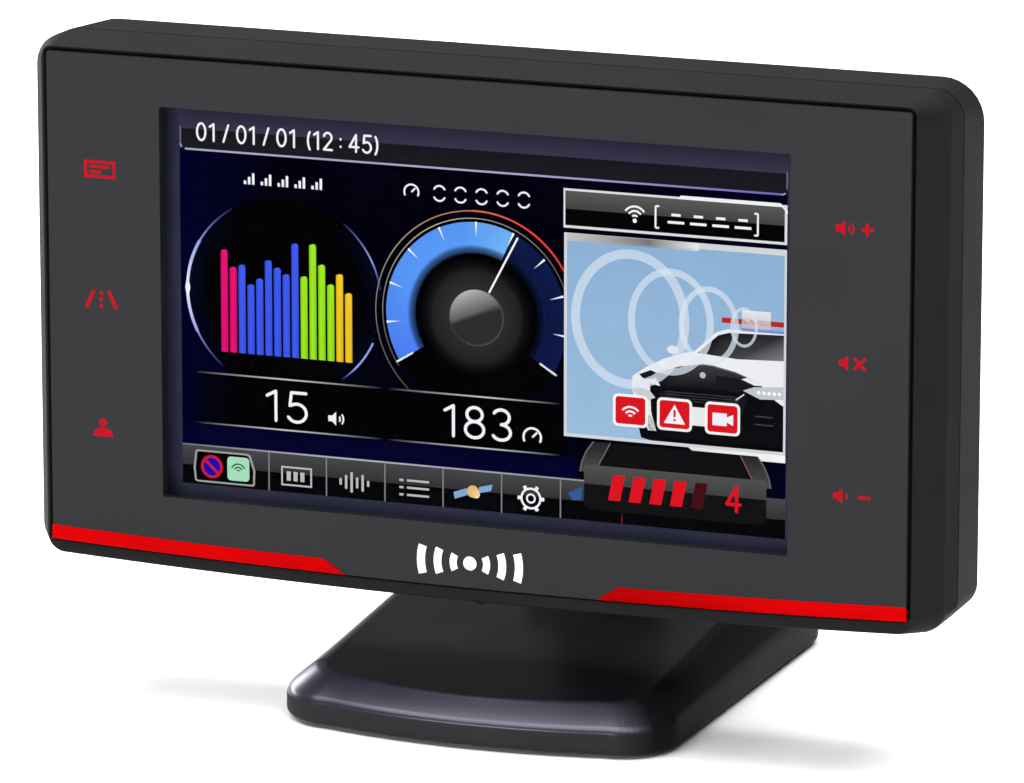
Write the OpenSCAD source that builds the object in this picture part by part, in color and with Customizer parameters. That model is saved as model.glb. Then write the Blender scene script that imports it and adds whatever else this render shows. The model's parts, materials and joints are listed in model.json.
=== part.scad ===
// Dash-top radar detector: a flat touch-screen head on a wedge-shaped stand with a swivel and a tilt joint.
// Millimetres. X to the right seen from the driver, Y towards the windscreen, Z up.
// The origin is the middle of the stand's underside.

/* [Screen] */
// Width of the window in the front panel
window_w = 89.2; // [84:0.2:96]
// Height of the window in the front panel
window_h = 53.6; // [50:0.2:56]
// Height of the middle of the window above the dashboard
screen_z = 56.3; // [56:0.1:62]

/* [Head] */
// Width of the head across its side walls
head_w = 129.8; // [127:0.2:134]
// From the middle of the window up to the top of the head
head_up = 34.8; // [34.4:0.1:38]
// From the middle of the window down to the bottom corners of the head
head_down = 36.9; // [36.2:0.1:38]
// Depth of the head from its front panel to its rear face
head_d = 20; // [19.6:0.1:22]
// How far the bottom edges of the head and the panel bow down in the middle
bow = 1.25; // [0:0.05:2]
// Width of the front panel
panel_w = 122.3; // [120:0.1:123]
// Thickness of the front panel
panel_t = 2; // [1.6:0.1:2.2]
// Width of the sloping border round the front panel, at the sides
border_w = 3.2; // [2.5:0.1:3.3]
// Depth of the sloping border round the front panel
border_d = 5; // [3:0.1:6]
// Height of the red accent strips
strip_h = 2.05; // [1.5:0.05:3]

/* [Stand] */
// Width of the base
base_w = 56.2; // [54:0.1:64]
// Depth of the base
base_d = 74.4; // [72:0.1:78]
// Height of the front edge of the base above its skirt's lower edge
base_front_h = 5.4; // [5:0.1:7]
// Height of the back edge of the base above its skirt's lower edge
base_back_h = 13.1; // [12:0.1:14]
// How far the front edge of the base bows forward
base_bow = 3.3; // [0:0.1:5]
// Radius of the base's corners seen from above
base_r = 8; // [5:0.1:9]
// How far the front panel stands behind the front edge of the base
head_setback = 5.4; // [4:0.1:6]

/* [Joints] */
// Distance of the swivel axis behind the middle of the base
swivel_y = 6.4; // [6:0.1:7.5]
// Height of the tilt axis above the middle of the window
tilt_up = 7; // [6.5:0.1:8]
// Radius of the swivel pin
swivel_pin_r = 3.95; // [3.5:0.05:4]
// Radius of the tilt bolt
tilt_bolt_r = 2; // [1.5:0.05:2.2]
// Radial clearance of the turning pins in their bores
running_fit = 0.05; // [0.02:0.01:0.1]

/* [Hidden] */
$fn = 64;

// Places of the head and its joints
face_y = -base_d / 2 + head_setback;
tilt_z = screen_z + tilt_up;
// Outlines of the head, from the middle of the window
head_r = 4;
head_corner_r = 3.6;
panel_up = 33.45;
panel_down = 34.2;
panel_gap = 0.45;
ledge_w = 1;
ledge_back = panel_t + 1.2;
wall = 1.7;
seam_y = 10.2;
seam_gap = 0.2;
rear_wall = 1.6;
rear_round = 0.8;
rear_draft = 0.1;
rear_more_r = 1.8;
slab = 0.05;
// Layers behind the front panel, each the depth of its front face
gasket_t = 0.3;
glass_t = 1;
glass_y = panel_t + gasket_t;
lcd_y = glass_y + glass_t + 0.2;
lcd_t = 2.7;
lcd_w = 95;
lcd_h = 58.6;
lcd_up = 0.4;
frame_t = 0.5;
board_y = 8.4;
board_t = 1.2;
board_back = board_y + board_t;
inside_back = head_d - rear_wall;
// Corner fixings of the case and the board
boss_x = head_w / 2 - 5.4;
boss_up = head_up - 5.4;
boss_down = head_down - 5.4;
boss_r = 3.6;
board_screw_x = 44;
board_screw_z = 25.5;
// Accent strips, from the middle of the panel to where their slanted ends start
strip_top_x = 21.2;
strip_bottom_x = 17.9;
strip_proud = 0.5;
strip_deep = 1.5;
// Rails on the back of the head and the plate that slides in them
rail_in = 12.2;
rail_out = 15;
lip_in = 10.4;
rail_back = head_d + 3.2;
lip_t = 1.1;
rail_z0 = -16;
rail_z1 = 16;
plate_y0 = head_d + 0.25;
plate_t = 1.6;
plate_z1 = 13.8;
// Swivel and tilt joint
barrel_r = 8;
barrel_z0 = tilt_z - 26;
barrel_z1 = tilt_z - 13.6;
washer_t = 0.5;
flange_t = 3;
lug_half = 4;
lug_r = 6.5;
friction_t = 0.4;
ear_in = lug_half + friction_t + 0.1;
ear_t = 3.2;
knob_in = ear_in + ear_t + 0.4;
knob_t = 8;
knob_r = 8;
// Stand
pad_t = 1.2;
skirt_z = 0.6;
plate_z = pad_t + 2;
skirt_h = 2.6;
front_inset = 4.2;
side_inset = 5;
base_wall = 2;
slope_t = 0.3;
base_screw_x = 15;
base_screw_y = [-22, 24];
foot_y = swivel_y + 11.5;
foot_z = 14.4;
foot_t = 3;
arm_half = 6.5;
arm_front = swivel_y + 9;
arm_back = swivel_y + 17;
neck_screw_y = [swivel_y + 7, swivel_y + 17.5];
// Things on the left side of the head, by their height from the middle of the window
card_z = 12;
card_y = 11.2;
card_t = 0.8;
switch_z = -2;
data_z = -13;
jack_z = -24;
jack_y = 14;
jack_r = 1.8;
// Things on the back of the board
horn_pos = [33, 13.5];
horn_size = [35, 22];
horn_screw_y = inside_back - 1.2;
gps_pos = [-31, 16];
cell_pos = [30, -18];
cell_r = 6;
speaker_pos = [-33, -12];
speaker_r = 13;
lens_z = 24.5;
lens_size = [20, 9];

function arc(cx, cz, r, a0, a1, n = 8) =
    [for (i = [0:n]) let (a = a0 + (a1 - a0) * i / n) [cx + r * cos(a), cz + r * sin(a)]];
function bowed(x, half, low) = low - bow * (1 - pow(x / half, 2));
// A rounded outline with a bowed lower edge: half width, top, bottom corners, top and bottom radius
function head_outline(half, up, down, r_top, r_low) = concat(
    arc(half - r_top, up - r_top, r_top, 0, 90),
    arc(-half + r_top, up - r_top, r_top, 90, 180),
    arc(-half + r_low, -down + r_low, r_low, 180, 270),
    [for (i = [1:15]) let (x = (half - r_low) * (i / 8 - 1)) [x, bowed(x, half - r_low, -down)]],
    arc(half - r_low, -down + r_low, r_low, 270, 360));
function outer(inset, more = 0) =
    head_outline(head_w / 2 - inset, head_up - inset, head_down - inset, head_r + more - inset * 0.5,
        head_corner_r - inset * 0.5);
// Lower edge of the front panel at a distance from its middle
function panel_low(x) = bowed(x, panel_w / 2, -panel_down);
function panel_outline(grow) = concat(
    [[panel_w / 2 + grow, panel_up + grow], [-panel_w / 2 - grow, panel_up + grow]],
    [for (i = [-12:12]) let (x = i / 12) [x * (panel_w / 2 + grow), panel_low(x * panel_w / 2) - grow]]);
function strip_outline(side) = concat(
    [for (i = [0:10]) let (x = panel_w / 2 + (strip_bottom_x - panel_w / 2) * i / 10)
        [side * x, panel_low(x)]],
    [for (i = [0:10]) let (x = strip_top_x + (panel_w / 2 - strip_top_x) * i / 10)
        [side * x, panel_low(x) + strip_h]]);
// The base seen from above, drawn in by an inset at the front and another at the sides and back
function base_outline(front, side) =
    let (half = base_w / 2 - side, y0 = -base_d / 2 + front, y1 = base_d / 2 - side,
        r = base_r - side * 0.5, rise = base_bow * (half - r) / half)
    concat(
        [for (i = [-6:6]) let (x = (half - r) * i / 6) [x, y0 + rise * pow(i / 6, 2)]],
        arc(half - r, y0 + rise + r, r, -80, 0, 7),
        arc(half - r, y1 - r, r, 0, 90),
        arc(-half + r, y1 - r, r, 90, 180),
        arc(-half + r, y0 + rise + r, r, 180, 260, 7));
function base_top(y) =
    skirt_z + base_front_h + (base_back_h - base_front_h) * (y + base_d / 2) / base_d;

// Moves a child from the window's middle on the panel's face to its place
module at_head() {
    translate([0, face_y, screen_z]) children();
}
// A flat plate that faces the driver, from one depth to another
module plate(y0, y1, points) {
    translate([0, y1, 0]) rotate([90, 0, 0]) linear_extrude(y1 - y0) polygon(points);
}
module box(x0, x1, y0, y1, z0, z1) {
    translate([x0, y0, z0]) cube([x1 - x0, y1 - y0, z1 - z0]);
}
module rod_x(r, x0, x1, y, z) {
    translate([x0, y, z]) rotate([0, 90, 0]) cylinder(r = r, h = x1 - x0);
}
module rod_y(r, y0, y1, x, z) {
    translate([x, y1, z]) rotate([90, 0, 0]) cylinder(r = r, h = y1 - y0);
}
module rod_z(r, z0, z1, x, y) {
    translate([x, y, z0]) cylinder(r = r, h = z1 - z0);
}
module at_case_bosses() {
    for (x = [-boss_x, boss_x], z = [-boss_down, boss_up]) translate([x, 0, z]) children();
}
module at_board_screws() {
    for (x = [-board_screw_x, board_screw_x], z = [-board_screw_z, board_screw_z])
        translate([x, 0, z]) children();
}
// A pan-head screw along Y, with its head at the back and a cross in it
module screw_back(r, head_r, y0, y1, head_t) {
    difference() {
        union() {
            rod_y(r, y0, y1, 0, 0);
            rod_y(head_r, y1, y1 + head_t, 0, 0);
        }
        for (turn = [0, 90]) translate([0, y1 + head_t, 0]) rotate([0, turn, 0])
            cube([head_r * 1.1, head_t, head_r * 0.28], center = true);
    }
}
// A countersunk screw along Z, with its head underneath
module screw_under(r, head_r, z0, z1) {
    difference() {
        union() {
            rod_z(r, z0, z1, 0, 0);
            translate([0, 0, z0]) cylinder(r1 = head_r, r2 = r, h = head_r - r);
        }
        for (turn = [0, 90]) translate([0, 0, z0]) rotate([0, 0, turn])
            cube([head_r * 1.1, head_r * 0.28, 0.8], center = true);
    }
}
module base_layer(z, h, front, side) {
    translate([0, 0, z]) linear_extrude(h) polygon(base_outline(front, side));
}
// A layer that slopes with the top of the base, some way between the skirt and the top
module sloped_layer(share, front, side, drop) {
    low = skirt_h + (base_front_h - skirt_h) * share - drop;
    high = skirt_h + (base_back_h - skirt_h) * share - drop;
    translate([0, -base_d / 2, skirt_z + low]) rotate([atan((high - low) / base_d), 0, 0])
        translate([0, base_d / 2, -slope_t]) linear_extrude(slope_t) polygon(base_outline(front, side));
}

module adhesive_pad() {
    color([0.09, 0.09, 0.1]) linear_extrude(pad_t) polygon(base_outline(5.5, 4));
}
module base_plate() {
    color([0.55, 0.56, 0.58]) difference() {
        translate([0, 0, pad_t]) linear_extrude(plate_z - pad_t) polygon(base_outline(2, 2));
        at_base_screws() rod_z(1.6, 0, 9, 0, 0);
        at_base_screws() translate([0, 0, pad_t - 0.01]) cylinder(r1 = 3.1, r2 = 1.6, h = 1.5);
        at_neck_screws() rod_z(2.1, 0, 9, 0, 0);
        at_neck_screws() translate([0, 0, pad_t - 0.01]) cylinder(r1 = 3.7, r2 = 2.1, h = 1.6);
    }
}
module at_base_screws() {
    for (x = [-base_screw_x, base_screw_x], y = base_screw_y) translate([x, y, 0]) children();
}
module at_neck_screws() {
    for (y = neck_screw_y) translate([0, y, 0]) children();
}
module base_shell() {
    color([0.1, 0.1, 0.11]) difference() {
        union() {
            hull() {
                base_layer(skirt_z, skirt_h, 0, 0);
                sloped_layer(0.4, front_inset * 0.16, side_inset * 0.1, 0);
                sloped_layer(0.86, front_inset * 0.75, side_inset * 0.58, 0);
                sloped_layer(1, front_inset, side_inset, 0);
            }
            translate([-11, foot_y - 9, 8]) cube([22, 18, foot_z - 8]);
        }
        base_layer(skirt_z - 1, plate_z - skirt_z + 1, 1.9, 1.9);
        difference() {
            hull() {
                base_layer(plate_z - 0.5, 0.5, front_inset, side_inset);
                sloped_layer(1, front_inset + 3, side_inset + 2.5, base_wall);
            }
            at_base_screws() rod_z(3, 0, 20, 0, 0);
            translate([-9, foot_y - 9, 0]) cube([18, 30, 20]);
        }
        for (x = [-base_screw_x, base_screw_x], y = base_screw_y)
            rod_z(1.25, 0, base_top(y) - base_wall, x, y);
        at_neck_screws() rod_z(2.1, 0, 20, 0, 0);
    }
}
module base_screws() {
    color([0.7, 0.7, 0.72]) for (x = [-base_screw_x, base_screw_x], y = base_screw_y)
        translate([x, y, 0]) screw_under(1.25, 2.6, pad_t, base_top(y) - base_wall);
}
module neck_screws() {
    color([0.7, 0.7, 0.72]) at_neck_screws() screw_under(1.7, 3.2, pad_t, foot_z + foot_t - 0.6);
}
// The neck: a foot, a column that bends forward, and the barrel of the swivel
module neck_arm() {
    bend_in = 4;
    bend_z = barrel_z0 - bend_in;
    bend_out = 11;
    top_z = barrel_z1 - 1.5;
    profile = concat(
        [[arm_back, foot_z], [arm_front, foot_z]],
        arc(arm_front - bend_in, bend_z, bend_in, 0, 90),
        [[swivel_y, barrel_z0], [swivel_y, top_z]],
        arc(arm_back - bend_out, top_z - bend_out, bend_out, 90, 0));
    color([0.08, 0.08, 0.09]) difference() {
        union() {
            rod_z(barrel_r, barrel_z0, barrel_z1, 0, swivel_y);
            translate([-arm_half, 0, 0]) rotate([90, 0, 90]) linear_extrude(arm_half * 2) polygon(profile);
            for (x = [-6, 6], y = [-5, 5]) rod_z(4, foot_z, foot_z + foot_t, x, foot_y + y);
            box(-10, 10, foot_y - 5, foot_y + 5, foot_z, foot_z + foot_t);
            box(-6, 6, foot_y - 9, foot_y + 9, foot_z, foot_z + foot_t);
        }
        rod_z(swivel_pin_r + running_fit, barrel_z0 - 1, barrel_z1 + 1, 0, swivel_y);
        at_neck_screws() rod_z(1.7, foot_z - 1, foot_z + foot_t - 0.6, 0, 0);
    }
}
module swivel_washer() {
    color([0.75, 0.75, 0.77]) difference() {
        rod_z(barrel_r - 0.6, barrel_z1, barrel_z1 + washer_t, 0, swivel_y);
        rod_z(swivel_pin_r + 0.2, barrel_z1 - 1, barrel_z1 + 1, 0, swivel_y);
    }
}
module swivel_knuckle() {
    flange_z = barrel_z1 + washer_t;
    color([0.12, 0.12, 0.13]) difference() {
        union() {
            rod_z(swivel_pin_r, barrel_z0 - 6, flange_z, 0, swivel_y);
            rod_z(barrel_r, flange_z, flange_z + flange_t, 0, swivel_y);
            rod_x(lug_r, -lug_half, lug_half, swivel_y, tilt_z);
            box(-lug_half, lug_half, swivel_y - 5.5, swivel_y + 5.5, flange_z + flange_t - 0.5, tilt_z - 1);
        }
        rod_x(tilt_bolt_r + running_fit, -9, 9, swivel_y, tilt_z);
    }
}
module swivel_nut() {
    color([0.72, 0.72, 0.74]) translate([0, swivel_y, 0]) difference() {
        translate([0, 0, barrel_z0 - 5]) cylinder(r = 6.5, h = 4.4, $fn = 6);
        rod_z(swivel_pin_r, barrel_z0 - 9, barrel_z0, 0, 0);
    }
}
module tilt_bracket() {
    color([0.1, 0.1, 0.11]) difference() {
        union() {
            at_head() box(-rail_in + 0.2, rail_in - 0.2, plate_y0, plate_y0 + plate_t, rail_z0, plate_z1);
            for (side = [-1, 1]) {
                middle = side * (ear_in + ear_t / 2);
                rod_x(lug_r, middle - ear_t / 2, middle + ear_t / 2, swivel_y, tilt_z);
                box(middle - ear_t / 2, middle + ear_t / 2, face_y + plate_y0 + plate_t - 0.5, swivel_y,
                    tilt_z - lug_r, tilt_z + lug_r);
                box(middle - 0.9, middle + 0.9, face_y + plate_y0 + plate_t - 0.5, face_y + plate_y0 + 5.5,
                    screen_z + rail_z0 + 5, tilt_z);
            }
        }
        rod_x(tilt_bolt_r + running_fit, -ear_in - ear_t - 1, ear_in + ear_t + 1, swivel_y, tilt_z);
        translate([-ear_in - ear_t - 0.01, swivel_y, tilt_z]) rotate([0, 90, 0])
            cylinder(r = 4.1, h = 1.8, $fn = 6);
    }
}
module friction_washers() {
    color([0.45, 0.3, 0.2]) for (side = [-1, 1]) difference() {
        rod_x(lug_r - 0.3, side * (lug_half + 0.3) - friction_t / 2,
            side * (lug_half + 0.3) + friction_t / 2, swivel_y, tilt_z);
        rod_x(tilt_bolt_r + 0.1, -9, 9, swivel_y, tilt_z);
    }
}
module tilt_nut() {
    color([0.72, 0.72, 0.74]) difference() {
        translate([-ear_in - ear_t - 0.6, swivel_y, tilt_z]) rotate([0, 90, 0])
            cylinder(r = 4, h = 2.3, $fn = 6);
        rod_x(tilt_bolt_r + running_fit, -20, 20, swivel_y, tilt_z);
    }
}
module tilt_bolt() {
    color([0.7, 0.7, 0.72]) union() {
        rod_x(tilt_bolt_r, -ear_in - ear_t - 1.4, knob_in + knob_t - 2, swivel_y, tilt_z);
        rod_x(4, ear_in + ear_t + 0.05, knob_in, swivel_y, tilt_z);
    }
}
module tilt_knob() {
    lobes = 6;
    color([0.09, 0.09, 0.1]) difference() {
        union() {
            rod_x(knob_r - 2, knob_in, knob_in + knob_t, swivel_y, tilt_z);
            for (i = [0:lobes - 1])
                rod_x(2.4, knob_in, knob_in + knob_t - 1, swivel_y + (knob_r - 2.4) * cos(i * 360 / lobes),
                    tilt_z + (knob_r - 2.4) * sin(i * 360 / lobes));
        }
        rod_x(tilt_bolt_r, knob_in - 1, knob_in + knob_t - 2, swivel_y, tilt_z);
    }
}

module front_panel() {
    half_w = window_w / 2;
    half_h = window_h / 2;
    color([0.2, 0.2, 0.205]) at_head() difference() {
        plate(0, panel_t, panel_outline(0));
        box(-half_w, half_w, -1, panel_t + 1, -half_h, half_h);
        for (side = [-1, 1]) plate(-1, strip_deep, strip_outline(side));
    }
}
module accent_strip(side) {
    color([0.8, 0, 0.02]) at_head() plate(-strip_proud, strip_deep, strip_outline(side));
}
module accent_strip_left() {
    accent_strip(-1);
}
module accent_strip_right() {
    accent_strip(1);
}
module screen_gasket() {
    color([0.05, 0.05, 0.06]) at_head() difference() {
        box(-lcd_w / 2, lcd_w / 2, panel_t, glass_y, -lcd_h / 2, lcd_h / 2);
        box(-window_w / 2 - 0.6, window_w / 2 + 0.6, 0, glass_y + 1,
            -window_h / 2 - 0.6, window_h / 2 + 0.6);
    }
}
module touch_glass() {
    color([0.3, 0.32, 0.4, 0.5]) at_head()
        box(-lcd_w / 2, lcd_w / 2, glass_y, glass_y + glass_t, -lcd_h / 2, lcd_h / 2);
}
module lcd_panel() {
    color([0.05, 0.06, 0.2]) at_head()
        box(-lcd_w / 2, lcd_w / 2, lcd_y, lcd_y + lcd_t, -lcd_h / 2 + lcd_up, lcd_h / 2 + lcd_up);
}
// Pressed tray round the screen, with a post for each of the board's screws
module lcd_frame() {
    back = lcd_y + lcd_t;
    half_w = lcd_w / 2 + frame_t + 0.1;
    half_h = lcd_h / 2 + frame_t + 0.1;
    color([0.7, 0.71, 0.72]) at_head() difference() {
        union() {
            difference() {
                box(-half_w, half_w, lcd_y, back + frame_t, lcd_up - half_h, lcd_up + half_h);
                box(frame_t - half_w, half_w - frame_t, lcd_y - 1, back, lcd_up + frame_t - half_h,
                    lcd_up + half_h - frame_t);
                box(-11, 11, lcd_y - 1, back, lcd_up - half_h - 1, lcd_up - half_h + 1);
            }
            at_board_screws() rod_y(2.2, back + 0.2, board_y, 0, 0);
        }
        at_board_screws() rod_y(0.9, back + 0.9, board_y + 1, 0, 0);
    }
}
// Flat ribbon that runs from the screen's lower edge round to the back of the board
module screen_flex() {
    t = 0.25;
    y0 = lcd_y + 1;
    y1 = board_back + 1.3;
    low = -32;
    profile = [
        [y0, -lcd_h / 2 + lcd_up], [y0, low], [y1, low], [y1, -23.2],
        [y1 - t, -23.2], [y1 - t, low + t], [y0 + t, low + t], [y0 + t, -lcd_h / 2 + lcd_up]
    ];
    color([0.75, 0.45, 0.12]) at_head() translate([-10, 0, 0]) rotate([90, 0, 90]) linear_extrude(20)
        polygon(profile);
}
module flex_connector() {
    color([0.85, 0.83, 0.75]) at_head() difference() {
        box(-12, 12, board_back, board_back + 1.8, -25, -20);
        box(-10.1, 10.1, board_back + 1, board_back + 1.35, -26, -23.1);
    }
}
// Two sensing boards behind the touch keys, one each side of the screen
module touch_key_boards() {
    color([0.05, 0.25, 0.12]) at_head() for (side = [-1, 1])
        box(side * 54.6 - 4.6, side * 54.6 + 4.6, panel_t, panel_t + 0.8, -25, 25);
}
module front_case() {
    color([0.12, 0.12, 0.125]) at_head() difference() {
        union() {
            difference() {
                union() {
                    hull() {
                        plate(0.3, 0.3 + slab, head_outline(head_w / 2 - border_w, head_up - 0.8,
                            head_down - 1.2, 1.6, 2));
                        plate(border_d, border_d + slab, outer(0));
                    }
                    plate(border_d, seam_y, outer(0));
                }
                plate(-1, panel_t, panel_outline(panel_gap));
                plate(panel_t - 1, ledge_back + 0.1, panel_outline(-ledge_w));
                plate(ledge_back, seam_y + 1, outer(wall));
            }
            intersection() {
                plate(panel_t, seam_y, outer(0.8));
                at_case_bosses() rod_y(boss_r, panel_t, seam_y, 0, 0);
            }
        }
        at_case_bosses() rod_y(1.15, panel_t + 1, seam_y + 1, 0, 0);
    }
}
module vents() {
    for (row = [0:1], i = [0:6])
        box(20.6 + i * 4.2, 22 + i * 4.2, inside_back - 1, head_d + 1, -29 + row * 11, -20.5 + row * 11);
}
module speaker_grille() {
    for (ring = [0:3], i = [0:max(0, ring * 6 - 1)])
        rod_y(0.85, inside_back - 1, head_d + 1,
            speaker_pos[0] + ring * 2.9 * cos(i * 60 / max(1, ring)),
            speaker_pos[1] + ring * 2.9 * sin(i * 60 / max(1, ring)));
}
module head_rails() {
    for (side = [-1, 1]) {
        lip = side * (lip_in + rail_in) / 2;
        edge = side * (rail_in + rail_out) / 2;
        box(edge - (rail_out - rail_in) / 2, edge + (rail_out - rail_in) / 2, head_d - 0.5, rail_back,
            rail_z0, rail_z1);
        box(lip - (rail_in - lip_in) / 2 - 0.1, lip + (rail_in - lip_in) / 2 + 0.1,
            rail_back - lip_t, rail_back, rail_z0, rail_z1);
    }
    box(-rail_out, rail_out, head_d - 0.5, rail_back, plate_z1 + 0.2, rail_z1);
}
module rear_cover() {
    color([0.13, 0.13, 0.135]) at_head() difference() {
        union() {
            difference() {
                union() {
                    hull() {
                        plate(seam_y + seam_gap, seam_y + seam_gap + slab, outer(0));
                        plate(head_d - rear_round, head_d - rear_round + slab,
                            outer(rear_draft, rear_more_r));
                        plate(head_d - rear_round * 0.4, head_d - rear_round * 0.4 + slab,
                            outer(rear_draft + rear_round * 0.3, rear_more_r));
                        plate(head_d - slab, head_d, outer(rear_draft + rear_round, rear_more_r));
                    }
                    plate(seam_y - 1, seam_y + 1, outer(wall + 0.1));
                }
                plate(seam_y - 2, inside_back, outer(wall + 1.1));
            }
            at_case_bosses() rod_y(boss_r - 0.5, seam_y, inside_back + 0.5, 0, 0);
            head_rails();
        }
        at_case_bosses() rod_y(boss_r + 0.2, seam_y - 2, seam_y, 0, 0);
        at_case_bosses() rod_y(1.4, seam_y - 2, head_d + 1, 0, 0);
        at_case_bosses() rod_y(2.5, head_d - 1.1, head_d + 1, 0, 0);
        box(-lens_size[0] / 2, lens_size[0] / 2, inside_back - 1, head_d + 1,
            lens_z - lens_size[1] / 2, lens_z + lens_size[1] / 2);
        vents();
        speaker_grille();
        box(-head_w, -head_w / 2 + 4, card_y - 0.35, card_y + card_t + 0.35, card_z - 6.2, card_z + 6.2);
        box(-head_w, -head_w / 2 + 4, 11.7, 14.9, switch_z - 2.4, switch_z + 3.7);
        box(-head_w, -head_w / 2 + 4, 12, 15.6, data_z - 4.2, data_z + 4.2);
        rod_x(3, -head_w, -head_w / 2 + 4, jack_y, jack_z);
    }
}
module case_screws() {
    color([0.3, 0.3, 0.31]) at_head() at_case_bosses()
        screw_back(1.15, 2.2, panel_t + 2, head_d - 1.1, 0.9);
}
// The board follows the case, with its corners cut back round the bosses
module main_board() {
    color([0.04, 0.28, 0.14]) at_head() difference() {
        box(-61, 58, board_y, board_back, -30.5, 30.5);
        at_case_bosses() rod_y(boss_r + 0.6, board_y - 1, board_back + 1, 0, 0);
        at_case_bosses() box(-7, 7, board_y - 1, board_back + 1, -3, 3);
        at_board_screws() rod_y(1.05, board_y - 1, board_back + 1, 0, 0);
    }
}
module board_screws() {
    color([0.72, 0.72, 0.74]) at_head() at_board_screws()
        screw_back(0.9, 1.7, lcd_y + lcd_t + 1.1, board_back, 0.9);
}
module processor_shield() {
    color([0.78, 0.78, 0.78]) at_head() difference() {
        box(-17, 7, board_back, board_back + 2.4, -14, 12);
        box(-16.7, 6.7, board_back - 1, board_back + 2.1, -13.7, 11.7);
    }
}
module radar_module() {
    color([0.05, 0.3, 0.3]) at_head()
        box(horn_pos[0] - horn_size[0] / 2 + 1, horn_pos[0] + horn_size[0] / 2 - 1,
            board_back, board_back + 1.5,
            horn_pos[1] - horn_size[1] / 2 + 1, horn_pos[1] + horn_size[1] / 2 - 1);
}
// Die-cast horn that faces the windscreen
module radar_horn() {
    y0 = board_back + 1.5;
    y1 = inside_back - 0.3;
    color([0.7, 0.71, 0.73]) at_head() translate([horn_pos[0], 0, horn_pos[1]]) difference() {
        box(-horn_size[0] / 2, horn_size[0] / 2, y0, y1, -horn_size[1] / 2, horn_size[1] / 2);
        hull() {
            box(-5, 5, y0 + 1, y0 + 1.1, -3, 3);
            box(-horn_size[0] / 2 + 4, horn_size[0] / 2 - 4, y1, y1 + 0.1, -horn_size[1] / 2 + 1.5,
                horn_size[1] / 2 - 1.5);
        }
        for (side = [-1, 1]) rod_y(0.9, y0 - 1, y1 + 1, side * (horn_size[0] / 2 - 2), 0);
        for (side = [-1, 1]) rod_y(1.6, horn_screw_y, y1 + 1, side * (horn_size[0] / 2 - 2), 0);
    }
}
module horn_screws() {
    color([0.72, 0.72, 0.74]) at_head() translate([horn_pos[0], 0, horn_pos[1]]) for (side = [-1, 1])
        translate([side * (horn_size[0] / 2 - 2), 0, 0])
            screw_back(0.9, 1.4, board_back + 1.5, horn_screw_y, 0.8);
}
module gps_antenna() {
    color([0.78, 0.74, 0.6]) at_head() difference() {
        box(gps_pos[0] - 9, gps_pos[0] + 9, board_back + 0.3, board_back + 4.6,
            gps_pos[1] - 9, gps_pos[1] + 9);
        for (x = [-9, 9]) translate([gps_pos[0] + x, board_back + 5, gps_pos[1] - 9]) rotate([0, 45, 0])
            cube([2, 12, 2], center = true);
        rod_y(0.6, board_back + 4.3, board_back + 5, gps_pos[0] + 1, gps_pos[1] - 1);
    }
}
module laser_sensor() {
    color([0.15, 0.15, 0.16]) at_head() difference() {
        union() {
            box(-8, 8, board_back, board_back + 2.4, lens_z - 3.6, lens_z + 3.6);
            rod_y(3.4, board_back + 2.4, inside_back - 0.4, 0, lens_z);
        }
        rod_y(2.6, board_back + 4, inside_back, 0, lens_z);
    }
}
module laser_lens() {
    half_w = lens_size[0] / 2 - 0.1;
    half_h = lens_size[1] / 2 - 0.1;
    color([0.2, 0.02, 0.04, 0.8]) at_head() translate([0, 0, lens_z]) hull() {
        box(-half_w, half_w, inside_back - 0.2, head_d + 0.3, -half_h, half_h);
        box(-half_w + 1, half_w - 1, head_d + 0.6, head_d + 0.9, -half_h + 1, half_h - 1);
    }
}
module speaker_frame() {
    back = inside_back - 0.7;
    color([0.5, 0.5, 0.52]) at_head() translate([speaker_pos[0], back, speaker_pos[1]]) rotate([90, 0, 0])
        rotate_extrude() polygon([
            [speaker_r, 0], [speaker_r, 1], [speaker_r - 1, 1], [8, 4], [6.4, 4], [6.4, 3.4], [7.7, 3.4],
            [speaker_r - 1.6, 0.5], [speaker_r - 1.6, 0]
        ]);
}
module speaker_cone() {
    back = inside_back - 0.75;
    color([0.08, 0.08, 0.08]) at_head() translate([speaker_pos[0], back, speaker_pos[1]]) rotate([90, 0, 0])
        rotate_extrude() polygon([
            [speaker_r - 1.7, 0], [speaker_r - 1.7, 0.35], [9.6, 0.35], [5.4, 2.9],
            [0, 1.5], [0, 1.1], [5.4, 2.4], [9.4, 0]
        ]);
}
module speaker_magnet() {
    color([0.35, 0.35, 0.36]) at_head()
        rod_y(6.3, board_back + 0.2, inside_back - 3.9, speaker_pos[0], speaker_pos[1]);
}
module speaker_gasket() {
    color([0.05, 0.05, 0.05]) at_head() difference() {
        rod_y(speaker_r, inside_back - 0.7, inside_back, speaker_pos[0], speaker_pos[1]);
        rod_y(speaker_r - 1.5, inside_back - 1, inside_back + 1, speaker_pos[0], speaker_pos[1]);
    }
}
module backup_cell() {
    color([0.8, 0.8, 0.82]) at_head()
        rod_y(cell_r, board_back + 0.6, board_back + 3.2, cell_pos[0], cell_pos[1]);
}
module cell_holder() {
    color([0.1, 0.1, 0.1]) at_head() difference() {
        box(cell_pos[0] - 7.5, cell_pos[0] + 7.5, board_back, board_back + 2.6,
            cell_pos[1] - 7, cell_pos[1] + 7);
        rod_y(cell_r + 0.15, board_back + 0.5, board_back + 4, cell_pos[0], cell_pos[1]);
    }
}
module power_jack() {
    half = 3.5;
    x0 = -head_w / 2 + 3;
    color([0.06, 0.06, 0.06]) at_head() difference() {
        union() {
            box(x0, x0 + 11, board_back, jack_y + 3, jack_z - half, jack_z + half);
            rod_x(2.8, x0 - 2.2, x0 + 1, jack_y, jack_z);
        }
        rod_x(jack_r, x0 - 3, x0 + 6.8, jack_y, jack_z);
    }
}
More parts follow.
